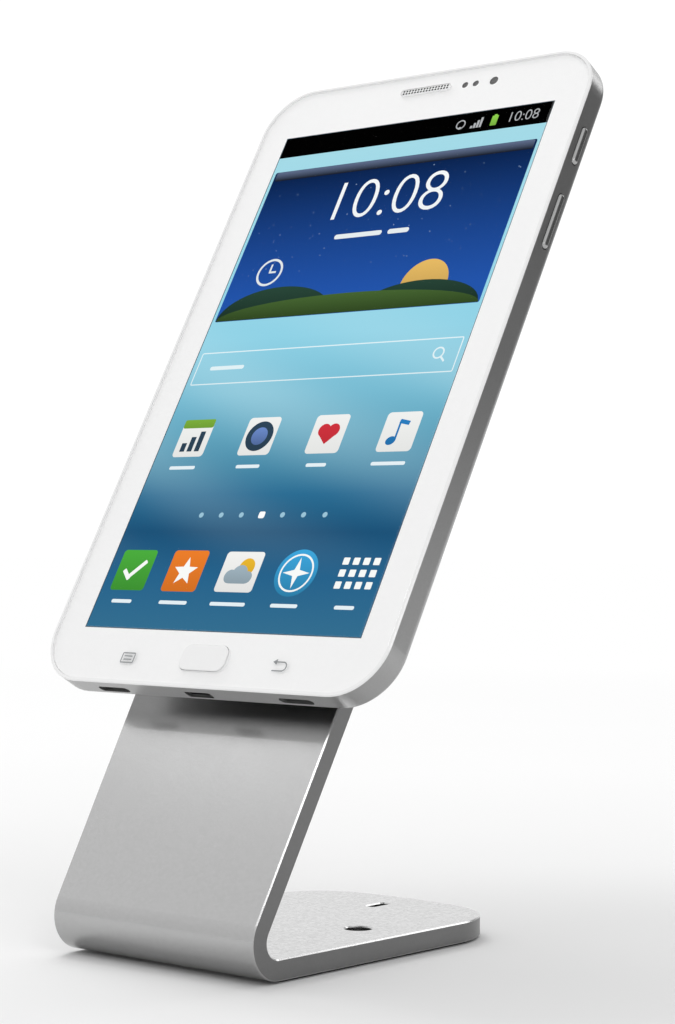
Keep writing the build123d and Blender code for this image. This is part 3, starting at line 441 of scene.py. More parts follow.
@dataclass(frozen=True)
class PlasticFinish:
    """A moulded, painted, printed or rubber surface.

    Attributes:
        roughness: Highest roughness.
        variation: How far colour and roughness fall below their own, as a share.
        grain_scale: Grains for each metre.
        cloud_grains: How many grains a cloud of the colour spans.
    """

    name: str
    colour: Colour
    roughness: float
    variation: float = 0.06
    grain_scale: float = 1800.0
    grain_strength: float = 0.1
    grain_depth: float = 0.03 * MM
    cloud_grains: float = 60.0

    def build(self) -> bpy.types.Material:
        """Makes the material.

        Returns:
            The finished material.
        """
        shader = Shader(self.name)
        grain = shader.noise(self.grain_scale)
        clouds = shader.noise(self.grain_scale / self.cloud_grains, 3.0)
        less = 1 - self.variation
        inputs = {
            "Base Color": shader.mix(shader.spread(clouds, 0, 1), self.colour, shaded(self.colour, less)),
            "Roughness": shader.spread(clouds, self.roughness * less, self.roughness),
            "Normal": shader.bump(grain, self.grain_strength, self.grain_depth),
        }
        return shader.finish(shader.solid(inputs))


@dataclass(frozen=True)
class BoardFinish:
    """Circuit board lacquer with copper runs that show as lighter lines.

    Attributes:
        pitch: Distance between runs.
        run_shares: Where a run starts, has its middle and ends, as shares of the pitch.
    """

    name: str
    lacquer: Colour
    run: Colour
    pitch: float
    run_shares: Place = (0.45, 0.5, 0.55)
    run_strength: float = 0.3
    run_height: float = 0.03 * MM
    roughness: float = 0.35

    def build(self) -> bpy.types.Material:
        """Makes the material.

        Returns:
            The finished material.
        """
        shader = Shader(self.name)
        right, up, _ = shader.on_face()
        where = shader.add("CombineXYZ", {"X": right, "Y": up}).outputs["Vector"]
        inputs = {"Vector": where, "Scale": 1 / self.pitch, "Randomness": 1.0}
        cells = shader.add("TexVoronoi", inputs, distance="CHEBYCHEV", feature="F2")
        stops = list(zip(self.run_shares, (BLACK, WHITE, BLACK)))
        lines = shader.ramp(cells.outputs["Distance"], stops)
        inputs = {
            "Base Color": shader.mix(lines, self.lacquer, self.run),
            "Roughness": self.roughness,
            "Normal": shader.bump(lines, self.run_strength, self.run_height),
        }
        return shader.finish(shader.solid(inputs))


@dataclass(frozen=True)
class GlowFinish:
    """A colour of the lit picture that fades towards its lower edge.

    Attributes:
        fade: How much darker the lower edge is, and below 0 how much brighter.
        middle: Height of the middle of the fade on the tablet's face.
        span: Height over which the colour fades.
    """

    name: str
    colour: Colour
    fade: float
    middle: float
    span: float

    def build(self) -> bpy.types.Material:
        """Makes the material.

        Returns:
            The finished material.
        """
        shader = Shader(self.name)
        _, up, _ = shader.on_face()
        height = shader.span(up, self.middle - self.span / 2, self.middle + self.span / 2)
        colour = shader.mix(height, shaded(self.colour, 1 - self.fade), self.colour)
        return shader.finish(shader.glow(colour))


@dataclass(frozen=True)
class DisplayWindow:
    """Where the display shows on the tablet's face."""

    middle: Point = (0.0, -0.4 * MM)
    size: Point = (90 * MM, 153.4 * MM)

    def outside(self, shader: Shader) -> Socket:
        """Measures how far a place on the face lies from the window.

        Args:
            shader: The material being built.

        Returns:
            A socket with the distance out of the window, negative inside it.
        """
        right, up, _ = shader.on_face()
        over = []
        for place, middle, size in zip((right, up), self.middle, self.size):
            away = shader.math("ABSOLUTE", shader.math("SUBTRACT", place, middle))
            over.append(shader.math("SUBTRACT", away, size / 2))
        return shader.math("MAXIMUM", *over)


@dataclass(frozen=True)
class FrontGlassFinish:
    """Clear cover glass with white printed walls, coated against reflections over the display.

    Attributes:
        half_depth: Half of the glass's thickness.
        plain_index: Refractive index where the glass is bare.
        coated_index: The weaker index that the coating leaves.
        wall_facing: How squarely a wall at most faces the front.
    """

    window: DisplayWindow
    half_depth: float = 0.27 * MM
    plain_index: float = 1.33
    coated_index: float = 1.015
    smear_scale: float = 40.0
    roughness: Point = (0.03, 0.05)
    wall_facing: float = 0.3

    def build(self) -> bpy.types.Material:
        """Makes the material.

        Returns:
            The finished material.
        """
        shader = Shader("front_glass_finish")
        _, _, out = shader.on_face()
        over_display = shader.math("LESS_THAN", self.window.outside(shader), 0.0)
        inner = shader.add("NewGeometry").outputs["Backfacing"]
        front = shader.math("GREATER_THAN", out, -self.half_depth)
        outer = shader.math("MULTIPLY", front, shader.math("SUBTRACT", 1.0, inner))
        bare, coated = shader.edge_on(self.plain_index), shader.edge_on(self.coated_index)
        mirrored = shader.math("MULTIPLY", shader.mix(over_display, bare, coated), outer)
        sheen = shader.mirror(shader.spread(shader.noise(self.smear_scale), *self.roughness))
        pane = shader.blend(mirrored, shader.clear(WHITE), sheen)
        wall = shader.math("LESS_THAN", shader.math("ABSOLUTE", shader.square_on()), self.wall_facing)
        printed = shader.solid({"Base Color": WHITE_PRINT, "Roughness": PRINT_ROUGHNESS})
        return shader.finish(shader.blend(wall, pane, printed))


@dataclass(frozen=True)
class PrintedBorderFinish:
    """White print behind the glass, with a fine dark line round the display."""

    window: DisplayWindow
    outline: float = 0.2 * MM
    line: Colour = srgb("27414f")
    dimmest: Colour = grey(0.93)
    grain_scale: float = 900.0

    def build(self) -> bpy.types.Material:
        """Makes the material.

        Returns:
            The finished material.
        """
        shader = Shader("printed_border")
        ink = shader.math("LESS_THAN", self.window.outside(shader), self.outline)
        grain = shader.spread(shader.noise(self.grain_scale), 0, 1)
        white = shader.mix(grain, WHITE_PRINT, self.dimmest)
        inputs = {"Base Color": shader.mix(ink, white, self.line), "Roughness": PRINT_ROUGHNESS}
        return shader.finish(shader.solid(inputs))


@dataclass(frozen=True)
class GrilleFinish:
    """White plastic strip whose hole walls are near black, as painted shade inside the holes.

    Attributes:
        front_facing: How squarely the strip's front at least faces the tablet's.
    """

    face: Colour = grey(0.85)
    hole_painted_shade: Colour = grey(0.09)
    front_facing: float = 0.5
    grain_scale: float = 900.0
    roughness: Point = (0.35, 0.45)

    def build(self) -> bpy.types.Material:
        """Makes the material.

        Returns:
            The finished material.
        """
        shader = Shader("perforated_strip")
        front = shader.math("GREATER_THAN", shader.square_on(), self.front_facing)
        rough = shader.spread(shader.noise(self.grain_scale), *self.roughness)
        # painted shade: faces that don't face the front, the hole walls among them, take the near black colour
        inputs = {"Base Color": shader.mix(front, self.hole_painted_shade, self.face), "Roughness": rough}
        return shader.finish(shader.solid(inputs))


@dataclass(frozen=True)
class ClearFinish:
    """A small tinted window."""

    name: str
    tint: Colour
    index: float = 1.5
    smear_scale: float = 1500.0
    roughness: Point = (0.02, 0.06)

    def build(self) -> bpy.types.Material:
        """Makes the material.

        Returns:
            The finished material.
        """
        shader = Shader(self.name)
        sheen = shader.mirror(shader.spread(shader.noise(self.smear_scale), *self.roughness))
        return shader.finish(shader.blend(shader.edge_on(self.index), shader.clear(self.tint), sheen))


@dataclass(frozen=True)
class ScreenFinish:
    """The lit panel: a sky fading down to deep water, with soft slanting bands of light.

    Attributes:
        bar_height: Height of the black bar along the top.
        panel_depth: Depth of the panel's front behind the tablet's.
        face_skin: How deep behind the panel's own front its light starts.
        edge: Colour of the panel's dark walls and back.
        sky: Shares of the display's height, from below, and the screen colour at each.
        band_slant: Slant of the bands in degrees.
        band_strength: Shares of the height, and how far the bands show at each.
        band_level: How strong the brightest band is.
    """

    window: DisplayWindow
    bar_height: float = 6.7 * MM
    bar_colour: Colour = grey(0.0004)
    panel_depth: float = 0.65 * MM
    face_skin: float = 0.03 * MM
    edge: Colour = grey(0.03)
    edge_roughness: float = 0.3
    sky: tuple[tuple[float, str], ...] = (
        (0.0, "346e90"), (0.1, "27638c"), (0.18, "1d5278"), (0.25, "2c6d93"), (0.3, "4a8aa8"),
        (0.37, "64a6bf"), (0.44, "78bbd2"), (0.56, "90d2e6"), (0.8, "9fdbeb"), (1.0, "a6dae6"),
    )
    band_slant: float = 24.0
    band_scale: float = 11.0
    band_distortion: float = 2.2
    band_detail_scale: float = 0.6
    band_strength: tuple[Point, ...] = ((0.1, 0.0), (0.34, 0.6), (0.45, 1.0), (0.7, 0.0))
    band_level: float = 0.25
    band_colour: Colour = srgb("c9edf5")

    def build(self) -> bpy.types.Material:
        """Makes the material.

        Returns:
            The finished material.
        """
        shader = Shader("lit_panel")
        _, up, out = shader.on_face()
        middle, half_height = self.window.middle[1], self.window.size[1] / 2
        height = shader.span(up, middle - half_height, middle + half_height)
        sky = shader.ramp(height, [(share, srgb(code)) for share, code in self.sky])
        lit = shader.mix(self.bands(shader, height), sky, self.band_colour)
        bar = shader.math("GREATER_THAN", up, middle + half_height - self.bar_height)
        light = shader.glow(shader.mix(bar, lit, self.bar_colour))
        edge = shader.solid({"Base Color": self.edge, "Roughness": self.edge_roughness})
        front = shader.math("GREATER_THAN", out, -(self.panel_depth + self.face_skin))
        return shader.finish(shader.blend(front, edge, light))

    def bands(self, shader: Shader, height: Socket) -> Socket:
        """Makes the soft bands of light.

        Args:
            shader: The material being built.
            height: Share of the display's height.

        Returns:
            A socket with how far the bands show.
        """
        right, up, _ = shader.on_face()
        place = shader.add("CombineXYZ", {"X": right, "Y": up}).outputs["Vector"]
        inputs = {"Vector": place, "Rotation": (0, 0, math.radians(self.band_slant))}
        inputs = {
            "Vector": shader.add("Mapping", inputs).outputs["Vector"],
            "Scale": self.band_scale,
            "Distortion": self.band_distortion,
            "Detail": 1.0,
            "Detail Scale": self.band_detail_scale,
        }
        waves = shader.add("TexWave", inputs, bands_direction="Y").outputs["Fac"]
        strength = shader.ramp(height, [(share, grey(level)) for share, level in self.band_strength])
        return shader.math("MULTIPLY", shader.math("MULTIPLY", waves, strength), self.band_level)


class Slot(Enum):
    """The record's material slots, each with the finish that its pieces wear."""

    # the second grey is painted shade on the plate's cut edges
    STAND_ALUMINIUM = BlastedPlateFinish("blasted_aluminium", grey(0.55), grey(0.235))
    PLATE_ALUMINIUM = MetalFinish("mill_aluminium", grey(0.42), 0.38, 0.08, 900.0, 0.2, (1.0, 12.0, 12.0))
    SCREW_STEEL = MetalFinish("satin_steel", grey(0.5), 0.3, 0.08, 3000.0, 0.15)
    PAD_RUBBER = PlasticFinish("pad_rubber_finish", grey(0.045), 0.8, 0.15, 1500.0, 0.4)
    FOAM_ADHESIVE = PlasticFinish("foam_finish", grey(0.07), 0.9, 0.2, 2500.0, 0.6)
    WHITE_PLASTIC = PlasticFinish("white_plastic_finish", grey(0.9), 0.18, 0.02, 700.0, 0.02)
    FILM = PlasticFinish("light_guide_finish", grey(0.8), 0.3, 0.03, 600.0, 0.05)
    CHASSIS_METAL = MetalFinish("cast_magnesium", grey(0.28), 0.5, 0.12, 1600.0, 0.5)
    BAND_METAL = MetalFinish("grey_band", grey(0.42), 0.34, 0.04, 3200.0, 0.12)
    KEY_METAL = MetalFinish("grey_key", grey(0.42), 0.24, 0.05, 3200.0, 0.08)
    BATTERY_WRAP = PlasticFinish("battery_wrap_finish", grey(0.05), 0.5, 0.2, 500.0, 0.2)
    BOARD = BoardFinish("board_lacquer", (0.012, 0.09, 0.045, 1.0), (0.03, 0.2, 0.1, 1.0), 3.5 * MM)
    CHIP = PlasticFinish("chip_moulding", grey(0.025), 0.6, 0.15, 2500.0, 0.3)
    CAN_METAL = MetalFinish("tinned_sheet", grey(0.6), 0.28, 0.08, 1500.0, 0.12)
    FLEX_FILM = PlasticFinish("amber_film", (0.42, 0.17, 0.03, 1.0), 0.35, 0.15, 1200.0, 0.1)
    BLACK_PLASTIC = PlasticFinish("black_moulding", grey(0.028), 0.45, 0.15, 1800.0, 0.2)
    MESH_METAL = MetalFinish("dark_mesh", grey(0.22), 0.4, 0.1, 3000.0, 0.2)
    # painted shade: the socket metal is made near black to stand for the shade inside the slot
    SOCKET_METAL_PAINTED_SHADE = MetalFinish("socket_painted_shade", grey(0.1), 0.4, 0.1, 1500.0, 0.12)
    LENS_GLASS = ClearFinish("coated_window", (0.35, 0.36, 0.42, 1.0))

    @cache
    def material(self) -> bpy.types.Material:
        """The slot's material, built when it is first asked for."""
        return self.value.build()


def dress(node: str, material: bpy.types.Material) -> None:
    """Gives a CAD node this material in its only slot."""
    frame["nodes"][node].material_slots[0].material = material
    log.info("%s: %s", node, material.name)


Clothes = tuple[tuple[Slot, tuple[str, ...]], ...]


@dataclass
class SubAssembly:
    """CAD nodes that belong together, listed by the slot whose finish they wear."""

    clothes: Clothes

    def build(self) -> int:
        """Dresses every node.

        Returns:
            How many nodes it has.
        """
        worn = [(node, slot) for slot, nodes in self.clothes for node in nodes]
        for node, slot in worn:
            dress(node, slot.material())
        return len(worn)


@dataclass
class Stand(SubAssembly):
    """The bent aluminium plate and the rubber sheet under its base."""

    clothes: Clothes = (
        (Slot.STAND_ALUMINIUM, ("stand_body",)),
        (Slot.PAD_RUBBER, ("base_pad",)),
    )


@dataclass
class Mounting(SubAssembly):
    """The plate, foam and screws that hold the tablet to the neck."""

    clothes: Clothes = (
        (Slot.PLATE_ALUMINIUM, ("mounting_plate",)),
        (Slot.FOAM_ADHESIVE, ("adhesive_pad",)),
        (Slot.SCREW_STEEL, ("plate_screws",)),
    )


@dataclass
class TabletShell(SubAssembly):
    """The grey band, the rear cover and what shows in their openings."""

    clothes: Clothes = (
        (Slot.BAND_METAL, ("side_frame", "rear_cover", "rear_camera_ring")),
        (Slot.KEY_METAL, ("power_key", "volume_key")),
        (Slot.MESH_METAL, ("speaker_meshes",)),
        (Slot.SOCKET_METAL_PAINTED_SHADE, ("usb_socket",)),
        (Slot.BLACK_PLASTIC, ("headphone_jack", "rear_camera")),
        (Slot.LENS_GLASS, ("rear_camera_window",)),
    )


@dataclass
class Front(SubAssembly):
    """The glass, its white border and rim, the home button and the lit panel."""

    clothes: Clothes = (
        (Slot.WHITE_PLASTIC, ("front_rim", "home_button")),
        (Slot.BLACK_PLASTIC, ("front_camera", "light_sensor")),
    )
    window: DisplayWindow = DisplayWindow()

    def build(self) -> int:
        """Dresses every node, four of them in finishes of their own.

        Returns:
            How many nodes it has.
        """
        own_finishes = {
            "cover_glass": FrontGlassFinish(self.window),
            "bezel_mask": PrintedBorderFinish(self.window),
            "display_panel": ScreenFinish(self.window),
            "earpiece_grille": GrilleFinish(),
        }
        for node, finish in own_finishes.items():
            dress(node, finish.build())
        return len(own_finishes) + super().build()


@dataclass
class Internals(SubAssembly):
    """What the closed tablet holds: chassis, battery, boards, cables, speakers and switches."""

    clothes: Clothes = (
        (Slot.FILM, ("backlight",)),
        (Slot.CHASSIS_METAL, ("chassis",)),
        (Slot.BATTERY_WRAP, ("battery",)),
        (Slot.BOARD, ("main_board", "sub_board")),
        (Slot.CHIP, ("board_chips",)),
        (Slot.CAN_METAL, ("board_shields",)),
        (Slot.SCREW_STEEL, ("board_screws", "vibration_motor")),
        (Slot.FLEX_FILM, ("battery_lead", "sub_board_flex", "display_flex", "antenna_flex", "key_flex")),
        (Slot.BLACK_PLASTIC, (
            "left_speaker", "right_speaker", "earpiece_receiver",
            "home_plunger", "home_switch",
            "power_switch", "power_plunger",
            "volume_switches", "volume_plungers",
        )),
    )


@contextmanager
def whole_mesh() -> Iterator[None]:
    """Opens the active shape in edit mode with all of it selected, and closes it again."""
    bpy.ops.object.mode_set(mode="EDIT")
    bpy.ops.mesh.select_all(action="SELECT")
    yield
    bpy.ops.object.mode_set(mode="OBJECT")


def stretch(across: float, along: float) -> None:
    """Scales the active shape and makes its new size its own."""
    bpy.context.object.scale = (across, along, 1)
    bpy.ops.object.transform_apply(location=False, rotation=False, scale=True)


def hollow(line: float) -> None:
    """Leaves only an outline of this width, inside the active shape's edge."""
    with whole_mesh():
        bpy.ops.mesh.inset(thickness=line, depth=0)
        bpy.ops.mesh.delete(type="FACE")


@dataclass(frozen=True)
class Shape:
    """A flat shape at its place, in millimetres, turned to the left by some degrees."""

    place: Point
    turn: float = field(default=0.0, kw_only=True)

    def start(self) -> None:
        """Starts the shape about the origin."""
        raise NotImplementedError

    def draw(self, middle: Point) -> bpy.types.Object:
        """Makes the shape and moves it to its place.

        Args:
            middle: Where the drawing's own middle lies on the tablet's front.

        Returns:
            The shape's object.
        """
        bpy.ops.object.select_all(action="DESELECT")
        self.start()
        shape = bpy.context.object
        shape.rotation_euler = (0, 0, math.radians(self.turn))
        shape.location = (self.place[0] + middle[0], self.place[1] + middle[1], 0)
        bpy.ops.object.transform_apply(location=True, rotation=True, scale=True)
        return shape


@dataclass(frozen=True)
class Bar(Shape):
    """A rectangle with round corners of this radius: filled, or an outline where it has a line width."""

    width: float
    height: float
    corner: float = 0.0
    line: float = 0.0

    CORNER_STEPS = 6

    def start(self) -> None:
        """Starts the rectangle."""
        bpy.ops.mesh.primitive_plane_add(size=1)
        stretch(self.width, self.height)
        if self.corner > 0:
            with whole_mesh():
                bpy.ops.mesh.bevel(offset=self.corner, segments=self.CORNER_STEPS, affect="VERTICES")
        if self.line > 0:
            hollow(self.line)


class Half(Enum):
    """The half of a disc that stays, as the direction in which it lies."""

    UPPER = (0, 1, 0)
    RIGHT = (1, 0, 0)


@dataclass(frozen=True)
class Disc(Shape):
    """A circle, or a polygon with few sides: filled, or an outline where it has a line width.

    Attributes:
        flat: Share of its height that stays.
    """

    radius: float
    sides: int = 32
    flat: float = 1.0
    line: float = 0.0
    half: Half | None = None

    def start(self) -> None:
        """Starts the circle."""
        bpy.ops.mesh.primitive_circle_add(vertices=self.sides, radius=self.radius, fill_type="NGON")
        stretch(1, self.flat)
        if self.line > 0:
            hollow(self.line)
        if self.half:
            with whole_mesh():
                bpy.ops.mesh.bisect(plane_co=(0, 0, 0), plane_no=self.half.value, clear_inner=True)


@dataclass(frozen=True)
class Star(Shape):
    """A filled star.

    Attributes:
        waist: Radius of its inner corners, as a share of its own.
    """

    radius: float
    points: int
    waist: float

    def start(self) -> None:
        """Starts the star as a polygon and draws in every second corner."""
        bpy.ops.mesh.primitive_circle_add(vertices=2 * self.points, radius=self.radius, fill_type="NGON")
        bpy.ops.object.mode_set(mode="EDIT")
        bpy.ops.mesh.select_mode(type="VERT")
        bpy.ops.mesh.select_all(action="DESELECT")
        bpy.ops.object.mode_set(mode="OBJECT")
        for vertex in bpy.context.object.data.vertices:
            vertex.select = vertex.index % 2 == 1
        bpy.ops.object.mode_set(mode="EDIT")
        bpy.ops.transform.resize(value=(self.waist, self.waist, 1), center_override=(0, 0, 0))
        bpy.ops.object.mode_set(mode="OBJECT")


@dataclass(frozen=True)
class Digits(Shape):
    """Clock digits, centred on their place.

    Attributes:
        text: Digits and a colon.
        size: Height of the type.
        thin: How much thinner its strokes are on each side.
    """

    text: str
    size: float
    thin: float

    CURVE_STEPS = 6

    def start(self) -> None:
        """Sets the type and turns it into a mesh."""
        bpy.ops.object.text_add()
        letters = bpy.context.object.data
        letters.body = self.text
        letters.size = self.size
        letters.offset = -self.thin
        letters.resolution_u = self.CURVE_STEPS
        letters.align_x = letters.align_y = "CENTER"
        bpy.ops.object.convert(target="MESH")


def dome(place: Point, radius: float, flat: float = 1.0) -> Disc:
    """The upper half of a fine circle, squeezed to a share of its height."""
    return Disc(place, radius, 48, flat, half=Half.UPPER)


def labels(columns: tuple[float, ...], row: float, widths: tuple[float, ...]) -> list[Shape]:
    """A short bar in place of a name below each column."""
    return [Bar((x, row), width, 1.0, 0.45) for x, width in zip(columns, widths)]


SHEET_THICKNESS = 0.01  # in millimetres


def lay(name: str, shapes: list[Shape], material: bpy.types.Material, depth: float,
        middle: Point = (0.0, 0.0)) -> bpy.types.Object:
    """Joins flat shapes into one thin piece and lays it on the tablet's front.

    Args:
        name: The piece's name.
        shapes: What it is made of.
        material: Its finish.
        depth: Depth of its front behind the tablet's front, in millimetres.
        middle: Where the drawing's own middle lies on that front, in millimetres.

    Returns:
        The finished piece, riding on the stand.
    """
    drawn = [shape.draw(middle) for shape in shapes]
    bpy.ops.object.select_all(action="DESELECT")
    for shape in drawn:
        shape.select_set(True)
    bpy.context.view_layer.objects.active = drawn[0]
    if len(drawn) > 1:
        bpy.ops.object.join()
    piece = bpy.context.object
    piece.name = piece.data.name = name
    sheet = piece.modifiers.new("sheet", "SOLIDIFY")
    sheet.thickness = SHEET_THICKNESS
    sheet.offset = -1
    bpy.ops.object.modifier_apply(modifier=sheet.name)
    piece.data.transform(FACE.sheet(depth))
    piece.data.materials.clear()
    piece.data.materials.append(material)
    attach(piece, "stand")
    log.info("%s: %d faces", piece.name, len(piece.data.polygons))
    return piece


@dataclass(frozen=True)
class Layer:
    """A sheet of the lit picture in one fading colour, in millimetres from the display's middle.

    Attributes:
        name: The piece's name.
        code: Its screen colour.
        level: How many sheets it lies above the lowest.
        fade: How much darker its lower edge is, and below 0 how much brighter.
        middle: Height of the middle of the fade.
        span: Height over which it fades.
        shapes: What is drawn on it.
    """

    name: str
    code: str
    level: int
    fade: float
    middle: float
    span: float
    shapes: list[Shape]


@dataclass
class DisplayPicture:
    """The lit picture: a clock panel, a status bar, a search field, two rows of icons and page dots.

    Attributes:
        back: Depth of the lowest layer behind the tablet's front, in millimetres.
        step: Distance between layers, in millimetres.
        drop: How far the display's middle lies below the face's, in millimetres.
        time: What both clocks say.
    """

    back: float = 0.635
    step: float = 0.015
    drop: float = 0.4
    time: str = "10:08"

    def build(self) -> int:
        """Draws the whole picture and lays it on the tablet.

        Returns:
            How many pieces it has.
        """
        layers = [
            *self.clock_panel(), *self.status_bar(), self.search_field(),
            *self.icon_row(), *self.dock(), *self.page_dots(),
        ]
        for layer in layers:
            height, span = (layer.middle - self.drop) * MM, layer.span * MM
            finish = GlowFinish(layer.name + "_glow", srgb(layer.code), layer.fade, height, span)
            depth = self.back - layer.level * self.step
            lay(layer.name, layer.shapes, finish.build(), depth, (0.0, -self.drop))
        return len(layers)

    def clock_panel(self) -> list[Layer]:
        """Makes the dark panel with stars, a low sun, hills, the clock and a clock sign.

        Returns:
            Its layers, lowest first.
        """
        draw = random.Random(7)
        stars = [Disc((draw.uniform(-43, 43), draw.uniform(30, 61)), draw.uniform(0.1, 0.2), 6) for _ in range(60)]
        horizon = 15.5
        date = [Bar((x, 40.2), width, 1.5, 0.7) for x, width in ((-4.5, 16), (9, 7))]
        x, y = sign = (-31.0, 30.5)
        clock_sign = [Disc(sign, 4.4, 40, line=0.7), Bar((x, y + 1.3), 0.6, 2.6), Bar((x + 1, y), 2.4, 0.6)]
        far_hills = [dome((24, horizon), 19.5, 0.42), dome((-24, horizon), 19.8, 0.5)]
        return [
            Layer("clock_panel", "0b2450", 0, -4.0, 42, 40, [Bar((0, 40.2), 88.0, 49.6, 0.6)]),
            Layer("panel_header", "62708e", 1, 0.92, 63.5, 3, [Bar((0, 63.4), 86.8, 3.0, 0.5)]),
            Layer("panel_stars", "8fa9cf", 1, 0.3, 46, 30, stars),
            Layer("panel_sun", "f2c46a", 1, 0.35, 27, 14, [dome((24, 22.5), 7.5)]),
            Layer("far_hill", "2c4a3c", 2, 0.5, 22, 10, far_hills),
            Layer("near_hill", "4a6a35", 3, 0.6, 19, 8, [dome((0, horizon), 43.8, 0.14)]),
            Layer("clock_digits", "f4f8fa", 4, 0.05, 51, 14, [Digits((0, 51.5), self.time, 18.5, 0.28)]),
            Layer("panel_bars", "e8eef0", 4, 0.05, 38, 6, date + clock_sign),
        ]

    def status_bar(self) -> list[Layer]:
        """Makes the signs in the black bar along the top.

        Returns:
            The pale signs and the green battery.
        """
        clock = Digits((36.5, 73.3), self.time, 4.6, 0.05)
        signal = [Bar((20.4 + 0.95 * step, 71.9 + 0.4 * step), 0.7, 0.8 + 0.8 * step) for step in range(4)]
        x, y = 16.6, 73.2
        ring = [Disc((x, y - 1.2), 0.45), Disc((x, y), 1.5, 24, line=0.35)]
        x, y = 27.4, 73.1
        battery = [Bar((x, y), 2.0, 3.2, 0.2), Bar((x, y + 1.8), 0.9, 0.4)]
        return [
            Layer("status_signs", "b4b7ba", 0, 0.05, 73.4, 4, [clock, *signal, *ring]),
            Layer("battery_sign", "8fd14f", 0, 0.3, 73.3, 3, battery),
        ]

    def search_field(self) -> Layer:
        """Makes the outlined field with a magnifier.

        Returns:
            Its one layer.
        """
        x, y = 37.2, 1.1
        magnifier = [Disc((x, y), 1.75, 28, line=0.45), Bar((x + 1.7, y - 1.8), 0.55, 2.2, 0.2, turn=45)]
        shapes = [Bar((0, 0.4), 87.0, 10.2, 0.5, 0.32), *magnifier, Bar((-32.5, 0.4), 12, 1.2, 0.55)]
        return Layer("search_field", "e4f4f8", 0, 0.05, 0, 12, shapes)

    def icon_row(self) -> list[Layer]:
        """Makes a chart, a lens, a heart and a note on white tiles.

        Returns:
            Their layers.
        """
        row = -21.3
        chart, lens, heart, note = columns = (-34.0, -11.2, 11.4, 34.0)
        chart_bars = ((-2.6, -2.7, 2.6), (0, -1.8, 4.4), (2.6, -1, 6))
        marks = [Bar((chart + x, row + y), 1.7, height) for x, y, height in chart_bars]
        lobes = [Disc((heart + x, row + 1.1), 1.9, 28) for x in (-1.5, 1.5)]
        head = Disc((note - 1.8, row - 2.5), 1.5, 28, 0.8, turn=20)
        stem, flag = Bar((note - 0.6, row + 0.4), 0.6, 5.8), Bar((note + 0.7, row + 2.7), 3.2, 1.2, 0.1, turn=-12)
        return [
            Layer("icon_tiles", "f1f2f0", 0, 0.12, -21.5, 12, [Bar((x, row), 10.8, 11.2, 1.1) for x in columns]),
            Layer("icon_heads", "7fb23d", 1, 0.3, -17, 4, [Bar((chart, row + 4.4), 10.8, 2.6, 0.6)]),
            Layer("icon_marks", "30475a", 1, 0.2, -21, 10, [*marks, Disc((lens, row), 4.4, 40)]),
            Layer("icon_gleams", "6f8fd0", 2, 0.5, -21, 6, [Disc((lens, row), 2.6)]),
            Layer("icon_heart", "d2343f", 1, 0.2, -21, 8, [*lobes, Bar((heart, row - 0.3), 3.75, 3.75, 0.1, turn=45)]),
            Layer("icon_note", "2a7fc2", 1, 0.25, -21, 8, [head, stem, flag]),
            Layer("icon_labels", "e8f3f8", 0, 0.05, -30, 3, labels(columns, -30.2, (9.0, 8.0, 6.5, 10.5))),
        ]

    def dock(self) -> list[Layer]:
        """Makes a tick, a star, a cloud, a compass and a grid along the bottom.

        Returns:
            Their layers.
        """
        row = -60.3
        tick, star, cloud, compass, grid = columns = (-36.2, -18.3, 0.0, 18.2, 36.8)
        marks = [
            Bar((tick - 2, row - 1.3), 1.2, 3.8, 0.3, turn=45),
            Bar((tick + 1.1, row + 0.2), 1.2, 6.8, 0.3, turn=-45),
            Star((star, row - 0.2), 4.1, 5, 0.42),
            Disc((compass, row), 5.2, 40, line=0.5),
            Star((compass, row), 4.2, 4, 0.28),
        ]
        for line in range(3):
            for column in range(4):
                marks.append(Bar((grid - 4.4 + 3.1 * column, row + 3.4 - 3.2 * line), 1.9, 1.9, 0.2))
        puffs = ((-2.6, 1.3, 1.9), (0.2, 0.6, 2.5), (2.9, 1.5, 1.7))
        haze = [Disc((cloud + x, row - y), radius, 28) for x, y, radius in puffs]
        haze.append(Bar((cloud + 0.2, row - 2.5), 6.4, 1.5, 0.6))
        return [
            Layer("dock_green", "4cae3f", 0, 0.35, row, 12, [Bar((tick, row), 11.8, 11.6, 1.0)]),
            Layer("dock_orange", "ee7f2c", 0, 0.25, row, 12, [Bar((star, row), 11.8, 11.6, 1.0)]),
            Layer("dock_white", "f3f3f1", 0, 0.15, row, 12, [Bar((cloud, row), 12.4, 11.2, 1.0)]),
            Layer("dock_blue", "3fa9e0", 0, 0.5, row, 14, [Disc((compass, row), 6.4, 48)]),
            Layer("dock_marks", "fafcfa", 1, 0.03, row, 12, marks),
            Layer("dock_cloud", "f0bc32", 1, 0.2, -58, 6, [Disc((cloud + 1.8, row + 1.3), 2.5)]),
            Layer("dock_haze", "9fb2bd", 2, 0.25, -61.5, 5, haze),
            Layer("dock_labels", "e8f3f8", 0, 0.05, -69, 3, labels(columns, -69.2, (7.0, 9.5, 11.5, 8.5, 6.0))),
        ]

    def page_dots(self) -> list[Layer]:
        """Makes the page dots, the middle one bright.

        Returns:
            The plain dots and the bright one.
        """
        row, pitch = -44.3, 6.8
        plain = [Disc((pitch * step, row), 0.75, 20) for step in range(-3, 4) if step != 0]
        return [
            Layer("page_dots", "9cc6da", 0, 0.05, row, 3, plain),
            Layer("open_page_dot", "ffffff", 0, 0.02, row, 3, [Bar((0, row), 2.0, 1.9, 0.5)]),
        ]


